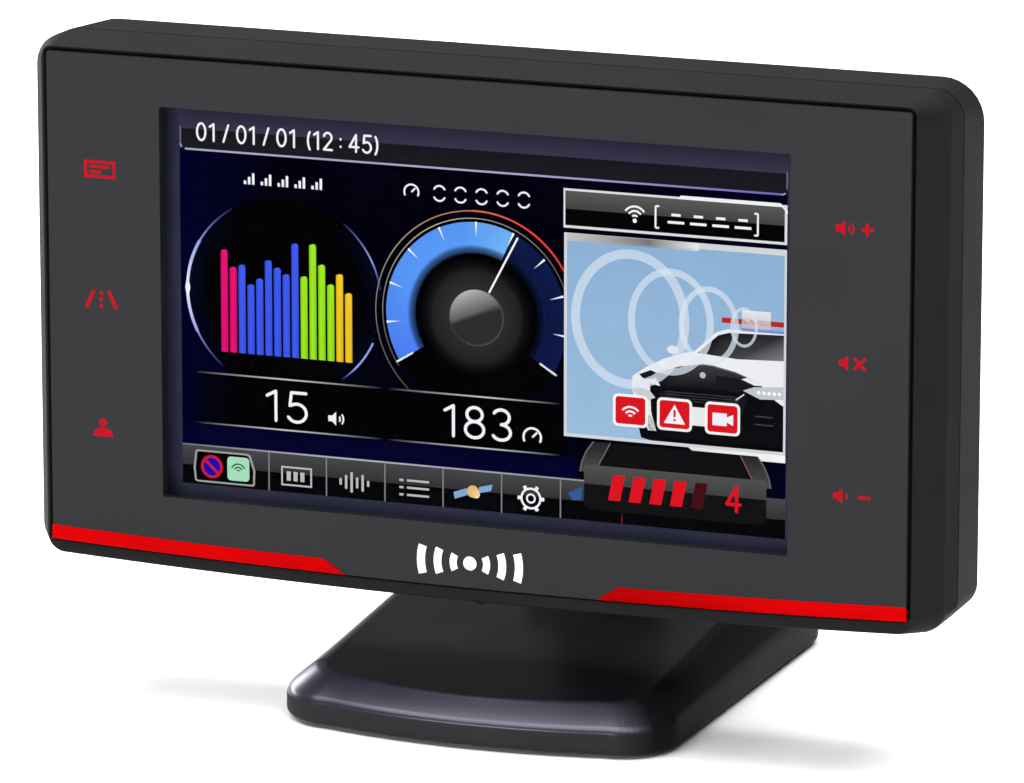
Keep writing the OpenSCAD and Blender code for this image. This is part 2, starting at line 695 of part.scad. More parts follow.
module data_jack() {
    x0 = -head_w / 2 + 2.2;
    color([0.7, 0.7, 0.72]) at_head() difference() {
        box(x0 - 1, x0 + 8, 12.1, 15.5, data_z - 4, data_z + 4);
        box(x0 - 2, x0 + 6.5, 12.5, 15.1, data_z - 3.6, data_z + 3.6);
    }
    color([0.06, 0.06, 0.06]) at_head() union() {
        box(x0 + 1, x0 + 6.6, 13.5, 14.1, data_z - 3, data_z + 3);
        box(x0 + 1.5, x0 + 7.5, board_back, 12.2, data_z - 3.2, data_z + 3.2);
    }
}
module card_socket() {
    x0 = -head_w / 2 + 2.9;
    color([0.75, 0.75, 0.77]) at_head() difference() {
        box(x0, x0 + 14.6, board_back, card_y + card_t + 0.9, card_z - 6.6, card_z + 6.6);
        box(x0 - 1, x0 + 14, card_y - 0.15, card_y + card_t + 0.15, card_z - 5.7, card_z + 5.7);
    }
}
// Memory card with its outer end flush with the head's side
module memory_card() {
    x0 = -head_w / 2 + 0.25;
    color([0.07, 0.07, 0.08]) at_head() difference() {
        box(x0, x0 + 15, card_y, card_y + card_t, card_z - 5.5, card_z + 5.5);
        box(x0 + 9, x0 + 16, card_y - 1, card_y + 2, card_z - 6, card_z - 4.6);
        box(x0 + 0.5, x0 + 1, card_y + card_t - 0.2, card_y + 2, card_z - 4, card_z + 4);
    }
}
module switch_body() {
    x0 = -head_w / 2 + 3;
    color([0.55, 0.55, 0.57]) at_head() difference() {
        box(x0, x0 + 5, board_back, 15.6, switch_z - 4.5, switch_z + 5.5);
        box(x0 - 1, x0 + 3, 12.1, 14.5, switch_z - 3.3, switch_z + 4.3);
    }
}
module switch_slider() {
    x0 = -head_w / 2;
    color([0.16, 0.16, 0.17]) at_head() difference() {
        union() {
            box(x0 - 0.9, x0 + 2.7, 12, 14.6, switch_z - 2, switch_z + 0.8);
            box(x0 + 2, x0 + 5.5, 12.4, 14.2, switch_z - 1.8, switch_z + 0.6);
        }
        for (i = [0:2]) box(x0 - 1, x0 - 0.6, 11, 16, switch_z - 1.5 + i * 0.8, switch_z - 1.2 + i * 0.8);
    }
}

adhesive_pad();
base_plate();
base_shell();
base_screws();
neck_arm();
neck_screws();
swivel_knuckle();
swivel_washer();
swivel_nut();
tilt_bracket();
friction_washers();
tilt_nut();
tilt_bolt();
tilt_knob();
front_panel();
accent_strip_left();
accent_strip_right();
touch_glass();
screen_gasket();
lcd_panel();
lcd_frame();
screen_flex();
flex_connector();
touch_key_boards();
front_case();
rear_cover();
case_screws();
main_board();
board_screws();
processor_shield();
radar_module();
radar_horn();
horn_screws();
gps_antenna();
laser_sensor();
laser_lens();
speaker_frame();
speaker_cone();
speaker_magnet();
speaker_gasket();
backup_cell();
cell_holder();
power_jack();
data_jack();
card_socket();
switch_body();
switch_slider();
memory_card();
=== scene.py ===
"""Looks of a dash-top radar detector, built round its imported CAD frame. Metres, in the frame's own axes."""
import json
import math

import bmesh
import bpy
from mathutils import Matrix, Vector


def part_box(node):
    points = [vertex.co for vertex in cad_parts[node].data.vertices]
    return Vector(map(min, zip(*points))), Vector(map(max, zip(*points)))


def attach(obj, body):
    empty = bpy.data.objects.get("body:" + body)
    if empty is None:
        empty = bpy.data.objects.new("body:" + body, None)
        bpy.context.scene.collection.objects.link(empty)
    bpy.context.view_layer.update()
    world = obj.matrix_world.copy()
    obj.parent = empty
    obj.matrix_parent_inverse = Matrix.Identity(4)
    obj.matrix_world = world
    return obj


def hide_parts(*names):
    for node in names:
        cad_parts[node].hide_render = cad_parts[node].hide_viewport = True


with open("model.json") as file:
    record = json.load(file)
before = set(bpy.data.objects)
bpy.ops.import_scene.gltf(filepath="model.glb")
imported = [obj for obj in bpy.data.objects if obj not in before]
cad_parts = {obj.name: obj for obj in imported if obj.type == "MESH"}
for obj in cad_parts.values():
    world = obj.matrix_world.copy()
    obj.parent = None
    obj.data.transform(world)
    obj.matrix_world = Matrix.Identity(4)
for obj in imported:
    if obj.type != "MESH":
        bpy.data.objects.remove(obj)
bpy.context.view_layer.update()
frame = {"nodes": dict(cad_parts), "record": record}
nodes = frame["nodes"]
MM = 0.001

# Places from the frame. A head point is (x, depth behind the panel's face, height from the window's
# middle), in mm
panel_low, panel_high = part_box("front_panel")
glass_low, glass_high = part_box("touch_glass")
lcd_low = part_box("lcd_panel")[0]
case_low, case_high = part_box("front_case")
base_low, base_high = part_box("base_shell")
FACE_Y = panel_low.y
MID_Z = (glass_low.z + glass_high.z) / 2

# Outline of the head and its panel, mm from the window's middle
HEAD_HALF = case_high.x / MM
HEAD_UP = (case_high.z - MID_Z) / MM
HEAD_BOW = 1.25
HEAD_DOWN = (MID_Z - case_low.z) / MM - HEAD_BOW
PANEL_HALF = panel_high.x / MM
PANEL_UP = (panel_high.z - MID_Z) / MM
PANEL_DOWN = (MID_Z - panel_low.z) / MM - HEAD_BOW
WINDOW_HALF_W = 44.6
WINDOW_HALF_H = 26.8
SCREEN_HALF_W = 43.2
SCREEN_TOP = 26.32
SCREEN_LOW = -25.52
LCD_DEPTH = (lcd_low.y - FACE_Y) / MM
SEAM_DEPTH = (case_high.y - FACE_Y) / MM


def head_point(x, depth, z):
    return Vector((x * MM, FACE_Y + depth * MM, MID_Z + z * MM))


# ---------------------------------------------------------------- camera

CAMERA_AZIMUTH = math.radians(21.2)
CAMERA_ELEVATION = math.radians(13.2)
CAMERA_DISTANCE = 0.948
CAMERA_LENS = 251.9


def make_camera():
    data = bpy.data.cameras.new("camera")
    data.lens = CAMERA_LENS
    data.sensor_width = 36
    data.clip_start = 0.05
    data.clip_end = 30
    camera = bpy.data.objects.new("camera", data)
    bpy.context.scene.collection.objects.link(camera)
    flat = math.cos(CAMERA_ELEVATION)
    back = Vector((math.sin(CAMERA_AZIMUTH) * flat, -math.cos(CAMERA_AZIMUTH) * flat,
                   math.sin(CAMERA_ELEVATION)))
    camera.location = head_point(6.03, 0, -7.93) + back * CAMERA_DISTANCE
    camera.rotation_mode = "QUATERNION"
    camera.rotation_quaternion = (-back).to_track_quat("-Z", "Y")
    bpy.context.scene.camera = camera


# ---------------------------------------------------------------- materials

def linear(*rgb):
    """A display colour, 0 to 255, as linear light."""
    return [((c / 255 + 0.055) / 1.055) ** 2.4 if c > 10 else c / 255 / 12.92 for c in rgb] + [1]


def scaled(colour, factor):
    return [c * factor for c in colour[:3]] + [1]


def add(tree, kind, *links, **inputs):
    """A node with its input values set, and links as (its input, an output socket)."""
    made = tree.nodes.new(kind)
    for key, value in inputs.items():
        made.inputs[key.replace("_", " ")].default_value = value
    for key, socket in links:
        tree.links.new(socket, made.inputs[key])
    return made


def blank(name, colour, roughness, stretch=(1, 1, 1), **inputs):
    """A new material, with its node tree, its shader and the object's own coordinates."""
    material = bpy.data.materials.new(name)
    material.use_nodes = True
    tree = material.node_tree
    shader = tree.nodes["Principled BSDF"]
    shader.inputs["Base Color"].default_value = colour
    shader.inputs["Roughness"].default_value = roughness
    for key, value in inputs.items():
        shader.inputs[key.replace("_", " ")].default_value = value
    coords = add(tree, "ShaderNodeTexCoord")
    placed = add(tree, "ShaderNodeMapping", ("Vector", coords.outputs["Object"]), Scale=stretch)
    return material, tree, shader, placed.outputs["Vector"]


def noise(tree, vector, size_mm, detail=2.0):
    made = add(tree, "ShaderNodeTexNoise", ("Vector", vector), Scale=1000 / size_mm, Detail=detail)
    return made.outputs["Fac"]


def spread(tree, factor, low, high):
    """A noise's usual range, stretched to run from low to high."""
    made = add(tree, "ShaderNodeMapRange", ("Value", factor), From_Min=0.2, From_Max=0.8, To_Min=low,
               To_Max=high)
    return made.outputs["Result"]


def combined(tree, kind, operation, first, second):
    """Two sockets put through one sum."""
    made = add(tree, kind, (0, first), (1, second))
    made.operation = operation
    return made.outputs[0]


def two_tone(tree, shader, factor, dark, light):
    """A base colour that runs from dark to light with a factor."""
    mix = tree.nodes.new("ShaderNodeMix")
    mix.data_type = "RGBA"
    tree.links.new(factor, mix.inputs["Factor"])
    colours = [s for s in mix.inputs if s.type == "RGBA"]
    colours[0].default_value = dark
    colours[1].default_value = light
    result = [s for s in mix.outputs if s.type == "RGBA"][0]
    tree.links.new(result, shader.inputs["Base Color"])


def uneven_gloss(tree, shader, factor, low, high):
    tree.links.new(spread(tree, factor, low, high), shader.inputs["Roughness"])


def relief(tree, shader, height, strength, depth_mm):
    bump = add(tree, "ShaderNodeBump", ("Height", height), Strength=strength, Distance=depth_mm * MM)
    tree.links.new(bump.outputs["Normal"], shader.inputs["Normal"])


def plastic(name, colour, roughness, grain=0.3, strength=0.25, vary=0.1, **inputs):
    """Moulded plastic: a fine spark grain, a slow drift in colour and an uneven gloss."""
    material, tree, shader, vector = blank(name, colour, roughness, **inputs)
    drift = spread(tree, noise(tree, vector, 22), 0, 1)
    two_tone(tree, shader, drift, scaled(colour, 1 - vary), scaled(colour, 1 + vary))
    uneven_gloss(tree, shader, noise(tree, vector, 12, 1), roughness - 0.04, roughness + 0.04)
    relief(tree, shader, noise(tree, vector, grain, 3), strength, 0.03)
    return material


def accent_paint(name, colour, roughness):
    """Red strip: cloudy pigment under a fine orange peel, with painted shade that darkens the right strip
    towards its inner end.
    """
    material, tree, shader, vector = blank(name, colour, roughness, Specular_IOR_Level=0.01)
    across = add(tree, "ShaderNodeSeparateXYZ", ("Vector", vector)).outputs["X"]
    # painted shade: the right strip darkens towards its inner end and is a little lighter than the left strip
    # further out; the left strip keeps its full colour
    deep = add(tree, "ShaderNodeMapRange", ("Value", across), From_Min=0.016, From_Max=0.05, To_Min=0.62,
               To_Max=1.05)
    left = add(tree, "ShaderNodeMath", (0, across))
    left.operation = "LESS_THAN"
    left.inputs[1].default_value = 0.0
    share = combined(tree, "ShaderNodeMath", "MAXIMUM", deep.outputs["Result"], left.outputs["Value"])
    cloud = spread(tree, noise(tree, vector, 6, 3), 0.86, 1.06)
    amount = combined(tree, "ShaderNodeMath", "MULTIPLY", share, cloud)
    pigment_and_shade = add(tree, "ShaderNodeVectorMath", (1, amount))
    pigment_and_shade.operation = "MULTIPLY"
    pigment_and_shade.inputs[0].default_value = colour[:3]
    tree.links.new(pigment_and_shade.outputs["Vector"], shader.inputs["Base Color"])
    relief(tree, shader, noise(tree, vector, 0.6, 3), 0.08, 0.02)
    return material


def metal(name, colour, roughness, stretch=(1, 1, 1), strength=0.15):
    """Turned, rolled or cast metal: stretched scratches and a mottled finish."""
    material, tree, shader, vector = blank(name, colour, roughness, stretch, Metallic=1.0)
    streak = noise(tree, vector, 0.6, 4)
    two_tone(tree, shader, spread(tree, noise(tree, vector, 5), 0, 1), scaled(colour, 0.82), colour)
    uneven_gloss(tree, shader, streak, roughness - 0.06, roughness + 0.1)
    relief(tree, shader, streak, strength, 0.02)
    return material


def circuit(name, colour, track_colour, pitch_mm=1.6):
    """Solder-masked board with tracks and pads under the lacquer."""
    material, tree, shader, vector = blank(name, colour, 0.32, Coat_Weight=0.4, Coat_Roughness=0.2)
    turned = add(tree, "ShaderNodeMapping", ("Vector", vector), Rotation=(math.radians(90), 0, 0))
    bricks = add(tree, "ShaderNodeTexBrick", ("Vector", turned.outputs["Vector"]), Scale=1.0,
                 Mortar_Size=0.00009, Brick_Width=pitch_mm * 6 * MM, Row_Height=pitch_mm * MM)
    two_tone(tree, shader, bricks.outputs["Fac"], colour, track_colour)
    relief(tree, shader, bricks.outputs["Fac"], 0.3, 0.05)
    return material


def rubber(name, colour):
    """Soft foam or rubber with fine cells."""
    material, tree, shader, vector = blank(name, colour, 0.85, Sheen_Weight=0.15, Sheen_Roughness=0.5)
    cells = add(tree, "ShaderNodeTexVoronoi", ("Vector", vector), Scale=1000 / 0.8)
    two_tone(tree, shader, noise(tree, vector, 6), scaled(colour, 0.8), scaled(colour, 1.25))
    relief(tree, shader, cells.outputs["Distance"], 0.5, 0.12)
    return material


def clear_glass(name):
    """Thin cover glass: see-through, with a faint tint and a smudge in its gloss."""
    material, tree, shader, vector = blank(name, (0.004, 0.004, 0.005, 1), 0.08, Alpha=0.02,
                                           Specular_IOR_Level=0.12)
    uneven_gloss(tree, shader, noise(tree, vector, 12, 4), 0.04, 0.16)
    return material


def dark_lens(name, colour):
    """Dark tinted window that light of one kind passes."""
    material, tree, shader, vector = blank(name, colour, 0.2, Specular_IOR_Level=0.12, Coat_Weight=0.05,
                                           Coat_Roughness=0.1)
    two_tone(tree, shader, noise(tree, vector, 9), scaled(colour, 0.6), scaled(colour, 1.5))
    relief(tree, shader, noise(tree, vector, 3), 0.05, 0.02)
    return material


def lit_picture(name, alpha=1.0):
    """Backlit picture whose colours are stored in the mesh, with the slight mottle of a diffuser."""
    material, tree, shader, vector = blank(name, (0.0002, 0.0002, 0.0004, 1), 0.9, Specular_IOR_Level=0.0,
                                           Alpha=alpha)
    tint = tree.nodes.new("ShaderNodeAttribute")
    tint.attribute_name = "tint"
    mottle = spread(tree, noise(tree, vector, 7), 0.97, 1.03)
    glow = combined(tree, "ShaderNodeVectorMath", "MULTIPLY", tint.outputs["Color"], mottle)
    tree.links.new(glow, shader.inputs["Emission Color"])
    shader.inputs["Emission Strength"].default_value = 1.0
    return material


def print_ink(name, colour, roughness=0.5):
    """Ink printed on the panel, slightly uneven where the screen's mesh left it."""
    material, tree, shader, vector = blank(name, colour, roughness, Specular_IOR_Level=0.03)
    two_tone(tree, shader, noise(tree, vector, 0.7, 3), scaled(colour, 0.86), scaled(colour, 1.1))
    relief(tree, shader, noise(tree, vector, 0.25), 0.2, 0.01)
    return material


CORNER_STEPS = 7
DULL = 0.5
DULL_LEVEL = 0.03


def painted_light_run(name, front, flank, roughness, level):
    """Finishes that lead round a corner of the base, from its front to its dull side. Their colour runs from
    a lighter front, painted highlight, to a darker side, painted shade.
    """
    run = []
    for i in range(CORNER_STEPS):
        share = i / (CORNER_STEPS - 1)
        # painted light: a lighter front colour stands for the highlight, a darker side colour for the shade
        tone = [a + (b - a) * share for a, b in zip(front, flank)]
        run.append(plastic(f"{name}_{i}", tone, roughness + (DULL - roughness) * share, grain=0.8,
                           strength=0.1, Specular_IOR_Level=level + (DULL_LEVEL - level) * share,
                           Specular_Tint=(0.86, 0.86, 1, 1)))
    return run


# The finish for each material slot of the CAD record
FINISHES = {
    "panel_grey": plastic("panel_grey", linear(28, 28, 30), 0.5, grain=0.22, strength=0.15, vary=0.05,
                          Specular_IOR_Level=0.15),
    "housing_black": plastic("housing_black", linear(28, 28, 28), 0.6, grain=0.35, strength=0.2,
                             Specular_IOR_Level=0.03),
    "cover_black": plastic("cover_black", linear(30, 30, 30), 0.62, grain=0.4, strength=0.3,
                           Specular_IOR_Level=0.03),
    "black_plastic": plastic("black_plastic", linear(30, 30, 31), 0.4, grain=0.3),
    "accent_red": accent_paint("accent_red", linear(176, 0, 2), 0.4),
    "steel": metal("steel", (0.4, 0.4, 0.42, 1), 0.32, (1, 1, 6)),
    "black_steel": metal("black_steel", (0.06, 0.06, 0.065, 1), 0.38),
    "die_cast": metal("die_cast", (0.36, 0.37, 0.39, 1), 0.45, strength=0.4),
    "ferrite": metal("ferrite", (0.09, 0.09, 0.095, 1), 0.55),
    "circuit_board": circuit("circuit_board", linear(12, 78, 44), linear(30, 112, 66)),
    "rf_board": circuit("rf_board", linear(14, 60, 84), linear(196, 150, 70), 2.4),
    "ribbon": plastic("ribbon", linear(186, 112, 34), 0.35, grain=1.2),
    "connector_cream": plastic("connector_cream", linear(222, 214, 188), 0.5),
    "ceramic": plastic("ceramic", linear(196, 184, 148), 0.6, grain=0.15),
    "fibre": plastic("fibre", linear(120, 76, 44), 0.75, grain=0.25, strength=0.5),
    "speaker_paper": plastic("speaker_paper", linear(34, 34, 33), 0.8, grain=0.6, strength=0.6),
    "foam": rubber("foam", linear(28, 28, 30)),
    "pad_rubber": rubber("pad_rubber", linear(36, 36, 38)),
    "touch_glass": clear_glass("touch_glass"),
    "lens_dark": dark_lens("lens_dark", linear(52, 8, 14)),
    "lcd": dark_lens("lcd_glass", linear(10, 10, 16)),
}
PANEL = FINISHES["panel_grey"]
HOUSING = FINISHES["housing_black"]
RED = FINISHES["accent_red"]
# Sideways faces of the case: the same black plastic painted lighter and without gloss, for the light that the
# sides catch
LIT_SIDE_WALL = plastic("side_wall_painted_light", linear(40, 40, 40), 0.7, grain=0.35, strength=0.2, Specular_IOR_Level=0.0)
BASE = plastic("base_black", linear(12, 12, 15), 0.3, grain=0.8, strength=0.1, Specular_IOR_Level=0.27,
               Specular_Tint=(0.88, 0.88, 1, 1))
# Lit and shaded copies of the base's plastic: the lighter, bluish front colours are painted highlight, the
# darker side colours are painted shade
SHOULDERS_LIT_TO_SHADED = painted_light_run("base_shoulder", linear(28, 28, 40), linear(17, 17, 19), 0.3, 0.75)
SKIRTS_LIT_TO_SHADED = painted_light_run("base_skirt", linear(43, 43, 45), linear(18, 18, 19), 0.5, 0.03)
# Blue-grey over the black mask round the screen: painted haze, a faint reflection in the film
HAZED_MASK = plastic("screen_mask_painted_haze", linear(40, 42, 60), 0.5, grain=0.2, strength=0.05, Specular_IOR_Level=0.05)
PICTURE = lit_picture("lcd_picture")
WAVES = lit_picture("lcd_waves", alpha=0.58)
KEY_INK = print_ink("key_ink", linear(158, 6, 22))
MARK_INK = print_ink("mark_ink", linear(250, 250, 250))


def finish_cad_nodes():
    """Every carried-over CAD node takes its own slot's finish."""
    for part in frame["record"]["subparts"]:
        shown = nodes[part["node"]]
        shown.data.materials.clear()
        shown.data.materials.append(FINISHES[part["material_slot"]])


def ease_edges(name, width_mm):
    """Rounds a CAD node's edges over with modifiers, which leave its mesh as it is."""
    shown = nodes[name]
    weld = shown.modifiers.new("weld", "WELD")
    weld.merge_threshold = 0.00001
    bevel = shown.modifiers.new("bevel", "BEVEL")
    bevel.width = width_mm * MM
    bevel.segments = 2
    bevel.limit_method = "ANGLE"
    bevel.angle_limit = math.radians(35)
    weighted = shown.modifiers.new("weighted", "WEIGHTED_NORMAL")
    weighted.keep_sharp = True


# ---------------------------------------------------------------- mesh helpers

def new_object(name, mesh, material, body):
    made = bpy.data.objects.new(name, mesh)
    bpy.context.scene.collection.objects.link(made)
    mesh.materials.append(material)
    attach(made, body)
    return made


def smooth_by_angle(mesh, degrees=38):
    """Smooth shading, with edges sharper than the angle kept crisp."""
    work = bmesh.new()
    work.from_mesh(mesh)
    for face in work.faces:
        face.smooth = True
    for edge in work.edges:
        edge.smooth = len(edge.link_faces) == 2 and edge.calc_face_angle() < math.radians(degrees)
    work.to_mesh(mesh)
    work.free()


def lofted(name, rings, material, body, loop=False, degrees=38):
    """A skin through rings of equal length. A loop joins last ring to first; otherwise both ends close."""
    count = len(rings[0])
    points = [p for ring in rings for p in ring]
    faces = []
    pairs = len(rings) if loop else len(rings) - 1
    for r in range(pairs):
        start = r * count
        after = (r + 1) % len(rings) * count
        for i in range(count):
            j = (i + 1) % count
            faces.append((start + i, start + j, after + j, after + i))
    if not loop:
        faces.append(tuple(range(count))[::-1])
        faces.append(tuple(range(len(points) - count, len(points))))
    mesh = bpy.data.meshes.new(name)
    mesh.from_pydata(points, [], faces)
    work = bmesh.new()
    work.from_mesh(mesh)
    bmesh.ops.recalc_face_normals(work, faces=work.faces)
    work.to_mesh(mesh)
    work.free()
    smooth_by_angle(mesh, degrees)
    made = new_object(name, mesh, material, body)
    weighted = made.modifiers.new("weighted", "WEIGHTED_NORMAL")
    weighted.keep_sharp = True
    return made


ARC_STEPS = 10
BOW_STEPS = 24


def arc(cx, cz, r, start, end, steps=ARC_STEPS):
    turn = [math.radians(start + (end - start) * i / steps) for i in range(steps + 1)]
    return [(cx + r * math.cos(a), cz + r * math.sin(a)) for a in turn]


def rounded(half, up, down, r_top, r_low, bow=0.0):
    """A rounded outline with a bowed lower edge, as (x, z) points."""
    span = half - r_low
    edge = [span * (2 * i / BOW_STEPS - 1) for i in range(1, BOW_STEPS)]
    return (arc(half - r_top, up - r_top, r_top, 0, 90) + arc(r_top - half, up - r_top, r_top, 90, 180)
            + arc(r_low - half, r_low - down, r_low, 180, 270)
            + [(x, -down - bow * (1 - (x / span) ** 2)) for x in edge]
            + arc(half - r_low, r_low - down, r_low, 270, 360))


def head_ring(depth, outline):
    return [head_point(x, depth, z) for x, z in outline]


# ---------------------------------------------------------------- the head's shells

def outer_outline(inset):
    """The head's outline, drawn in all round."""
    return rounded(HEAD_HALF - inset, HEAD_UP - inset, HEAD_DOWN - inset, 4 - inset * 0.5,
                   3.6 - inset * 0.5, HEAD_BOW)


def panel_outline(grow, radius=0.35, low_share=1.0):
    """The panel's outline grown all round, by a share of that along its lower edge."""
    return rounded(PANEL_HALF + grow, PANEL_UP + grow, PANEL_DOWN + grow * low_share, radius, radius,
                   HEAD_BOW)


# How squarely a face of the case has to look sideways to count as its side wall, which is painted lighter for
# the light it catches
FLAT_WALL = 0.97


def build_front_case():
    """Front case: a groove round the panel, a sloping border, an eased edge and the side wall."""
    seam = SEAM_DEPTH
    sections = [
        (seam, outer_outline(1.7)),
        (3.4, outer_outline(1.7)),
        (3.2, panel_outline(-1)),
        (2.05, panel_outline(-1)),
        (2.0, panel_outline(0.06, 0.4, 0.3)),
        (1.1, panel_outline(0.08, 0.4, 0.3)),
        (1.0, panel_outline(0.34, 0.7, 0.3)),
        (0.55, panel_outline(0.42, 0.8, 0.3)),
        (0.36, panel_outline(0.5, 0.9, 0.4)),
        (0.3, panel_outline(0.62, 1.0, 0.5)),
        (0.3, rounded(HEAD_HALF - 3.05, HEAD_UP - 0.78, HEAD_DOWN - 1.1, 1.7, 2.2, HEAD_BOW)),
        (0.4, rounded(HEAD_HALF - 2.9, HEAD_UP - 0.7, HEAD_DOWN - 0.92, 1.9, 2.4, HEAD_BOW)),
        (0.75, rounded(HEAD_HALF - 2.65, HEAD_UP - 0.58, HEAD_DOWN - 0.75, 2.1, 2.6, HEAD_BOW)),
        (4.3, rounded(HEAD_HALF - 0.55, HEAD_UP - 0.16, HEAD_DOWN - 0.2, 3.6, 3.4, HEAD_BOW)),
        (4.8, outer_outline(0.2)),
        (5.3, outer_outline(0.04)),
        (5.9, outer_outline(0)),
        (seam - 0.1, outer_outline(0)),
        (seam + 0.06, outer_outline(0.06)),
        (seam + 0.12, outer_outline(0.2)),
    ]
    rings = [head_ring(depth, outline) for depth, outline in sections]
    shell = lofted("front_case_shell", rings, HOUSING, "head", loop=True)
    # the lighter copy for the sideways faces, painted light
    shell.data.materials.append(LIT_SIDE_WALL)
    for face in shell.data.polygons:
        if abs(face.normal.x) > FLAT_WALL:
            face.material_index = 1
    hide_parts("front_case")


def build_case_nubs():
    """Two small half-round nubs under the case, where its lower edge clips together."""
    for x, size, name in ((-0.6, 1.5, "case_nub_middle"), (38.9, 0.85, "case_nub_right")):
        low = -HEAD_DOWN - HEAD_BOW * (1 - (x / HEAD_HALF) ** 2) + 0.6
        rings = [[head_point(x + px, depth, low + pz) for px, pz in arc(0, 0, r, 180, 360, 12)]
                 for depth, r in ((5.3, size - 0.25), (5.5, size), (7.2, size), (7.4, size - 0.25))]
        lofted(name, rings, HOUSING, "head")


def build_front_panel():
    """Front panel: one moulding with a window, whose edges are eased all round."""
    back = (panel_high.y - FACE_Y) / MM
    ease = 0.14

    def window(grow):
        return rounded(WINDOW_HALF_W + grow, WINDOW_HALF_H + grow, WINDOW_HALF_H + grow, 0.3, 0.3)

    sections = [
        (back, window(0.15)),
        (ease * 2, window(0)),
        (ease * 0.4, window(ease * 0.4)),
        (0, window(ease * 1.4)),
        (0, panel_outline(-ease * 1.4)),
        (ease * 0.4, panel_outline(-ease * 0.4)),
        (ease * 2, panel_outline(0)),
        (back, panel_outline(0)),
    ]
    rings = [head_ring(depth, outline) for depth, outline in sections]
    panel = lofted("front_panel_moulding", rings, PANEL, "head", loop=True)
    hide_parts("front_panel")


def panel_low_edge(x):
    return -PANEL_DOWN - HEAD_BOW * (1 - (x / PANEL_HALF) ** 2)


def build_accent_strip(side, name, node):
    """Accent strip: a rounded bar along the panel's lower edge with a slanted inner end."""
    height = 2.05
    top_inner = 21.2
    low_inner = 17.9
    proud = 0.42
    steps = 36
    section = [(1.0, 0.9), (1.0, 0.12), (0.97, -0.06), (0.9, -0.22), (0.75, -0.36), (0.55, -proud),
               (0.35, -0.38), (0.16, -0.26), (0.05, -0.08), (0.0, 0.16), (0.0, 0.9)]
    rings = []
    for i in range(steps + 1):
        t = i / steps
        ring = []
        for share, depth in section:
            inner = low_inner + (top_inner - low_inner) * share
            x = inner + (PANEL_HALF - inner) * t
            end = 0.3 if i in (0, steps) else 0.0
            ring.append(head_point(side * x, max(depth, end - proud), panel_low_edge(x) + height * share))
        rings.append(ring)
    strip = lofted(name, rings, RED, "head", degrees=24)
    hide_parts(node)


# ---------------------------------------------------------------- flat artwork

def bend(cx, cz, rx, rz, start, end, steps=14):
    """Part of an upright ellipse, as points."""
    turns = [math.radians(start + (end - start) * i / steps) for i in range(steps + 1)]
    return [(cx + rx * math.cos(a), cz + rz * math.sin(a)) for a in turns]


# Width and strokes of each numeral, one unit high
NUMERALS = {
    "0": (0.56, [bend(0.28, 0.5, 0.24, 0.45, 0, 360, 28)]),
    "1": (0.36, [[(0.04, 0.8), (0.26, 0.95), (0.26, 0.05)]]),
    "2": (0.56, [bend(0.28, 0.7, 0.22, 0.25, 165, -35) + [(0.06, 0.05), (0.52, 0.05)]]),
    "3": (0.54, [bend(0.24, 0.73, 0.21, 0.22, 150, -90), bend(0.24, 0.28, 0.24, 0.23, 90, -150)]),
    "4": (0.6, [[(0.42, 0.05), (0.42, 0.95), (0.05, 0.3), (0.56, 0.3)]]),
    "5": (0.54, [[(0.48, 0.95), (0.12, 0.95), (0.08, 0.55)] + bend(0.25, 0.33, 0.24, 0.28, 125, -150)]),
    "8": (0.56, [bend(0.28, 0.74, 0.2, 0.21, 0, 360, 20), bend(0.28, 0.29, 0.24, 0.24, 0, 360, 20)]),
    "/": (0.4, [[(0.06, 0.05), (0.34, 0.95)]]),
    ":": (0.1, [[(0.05, 0.25), (0.05, 0.27)], [(0.05, 0.65), (0.05, 0.67)]]),
    "(": (0.2, [bend(0.36, 0.46, 0.3, 0.6, 130, 230, 8)]),
    ")": (0.2, [bend(-0.16, 0.46, 0.3, 0.6, 50, -50, 8)]),
    " ": (0.06, []),
}


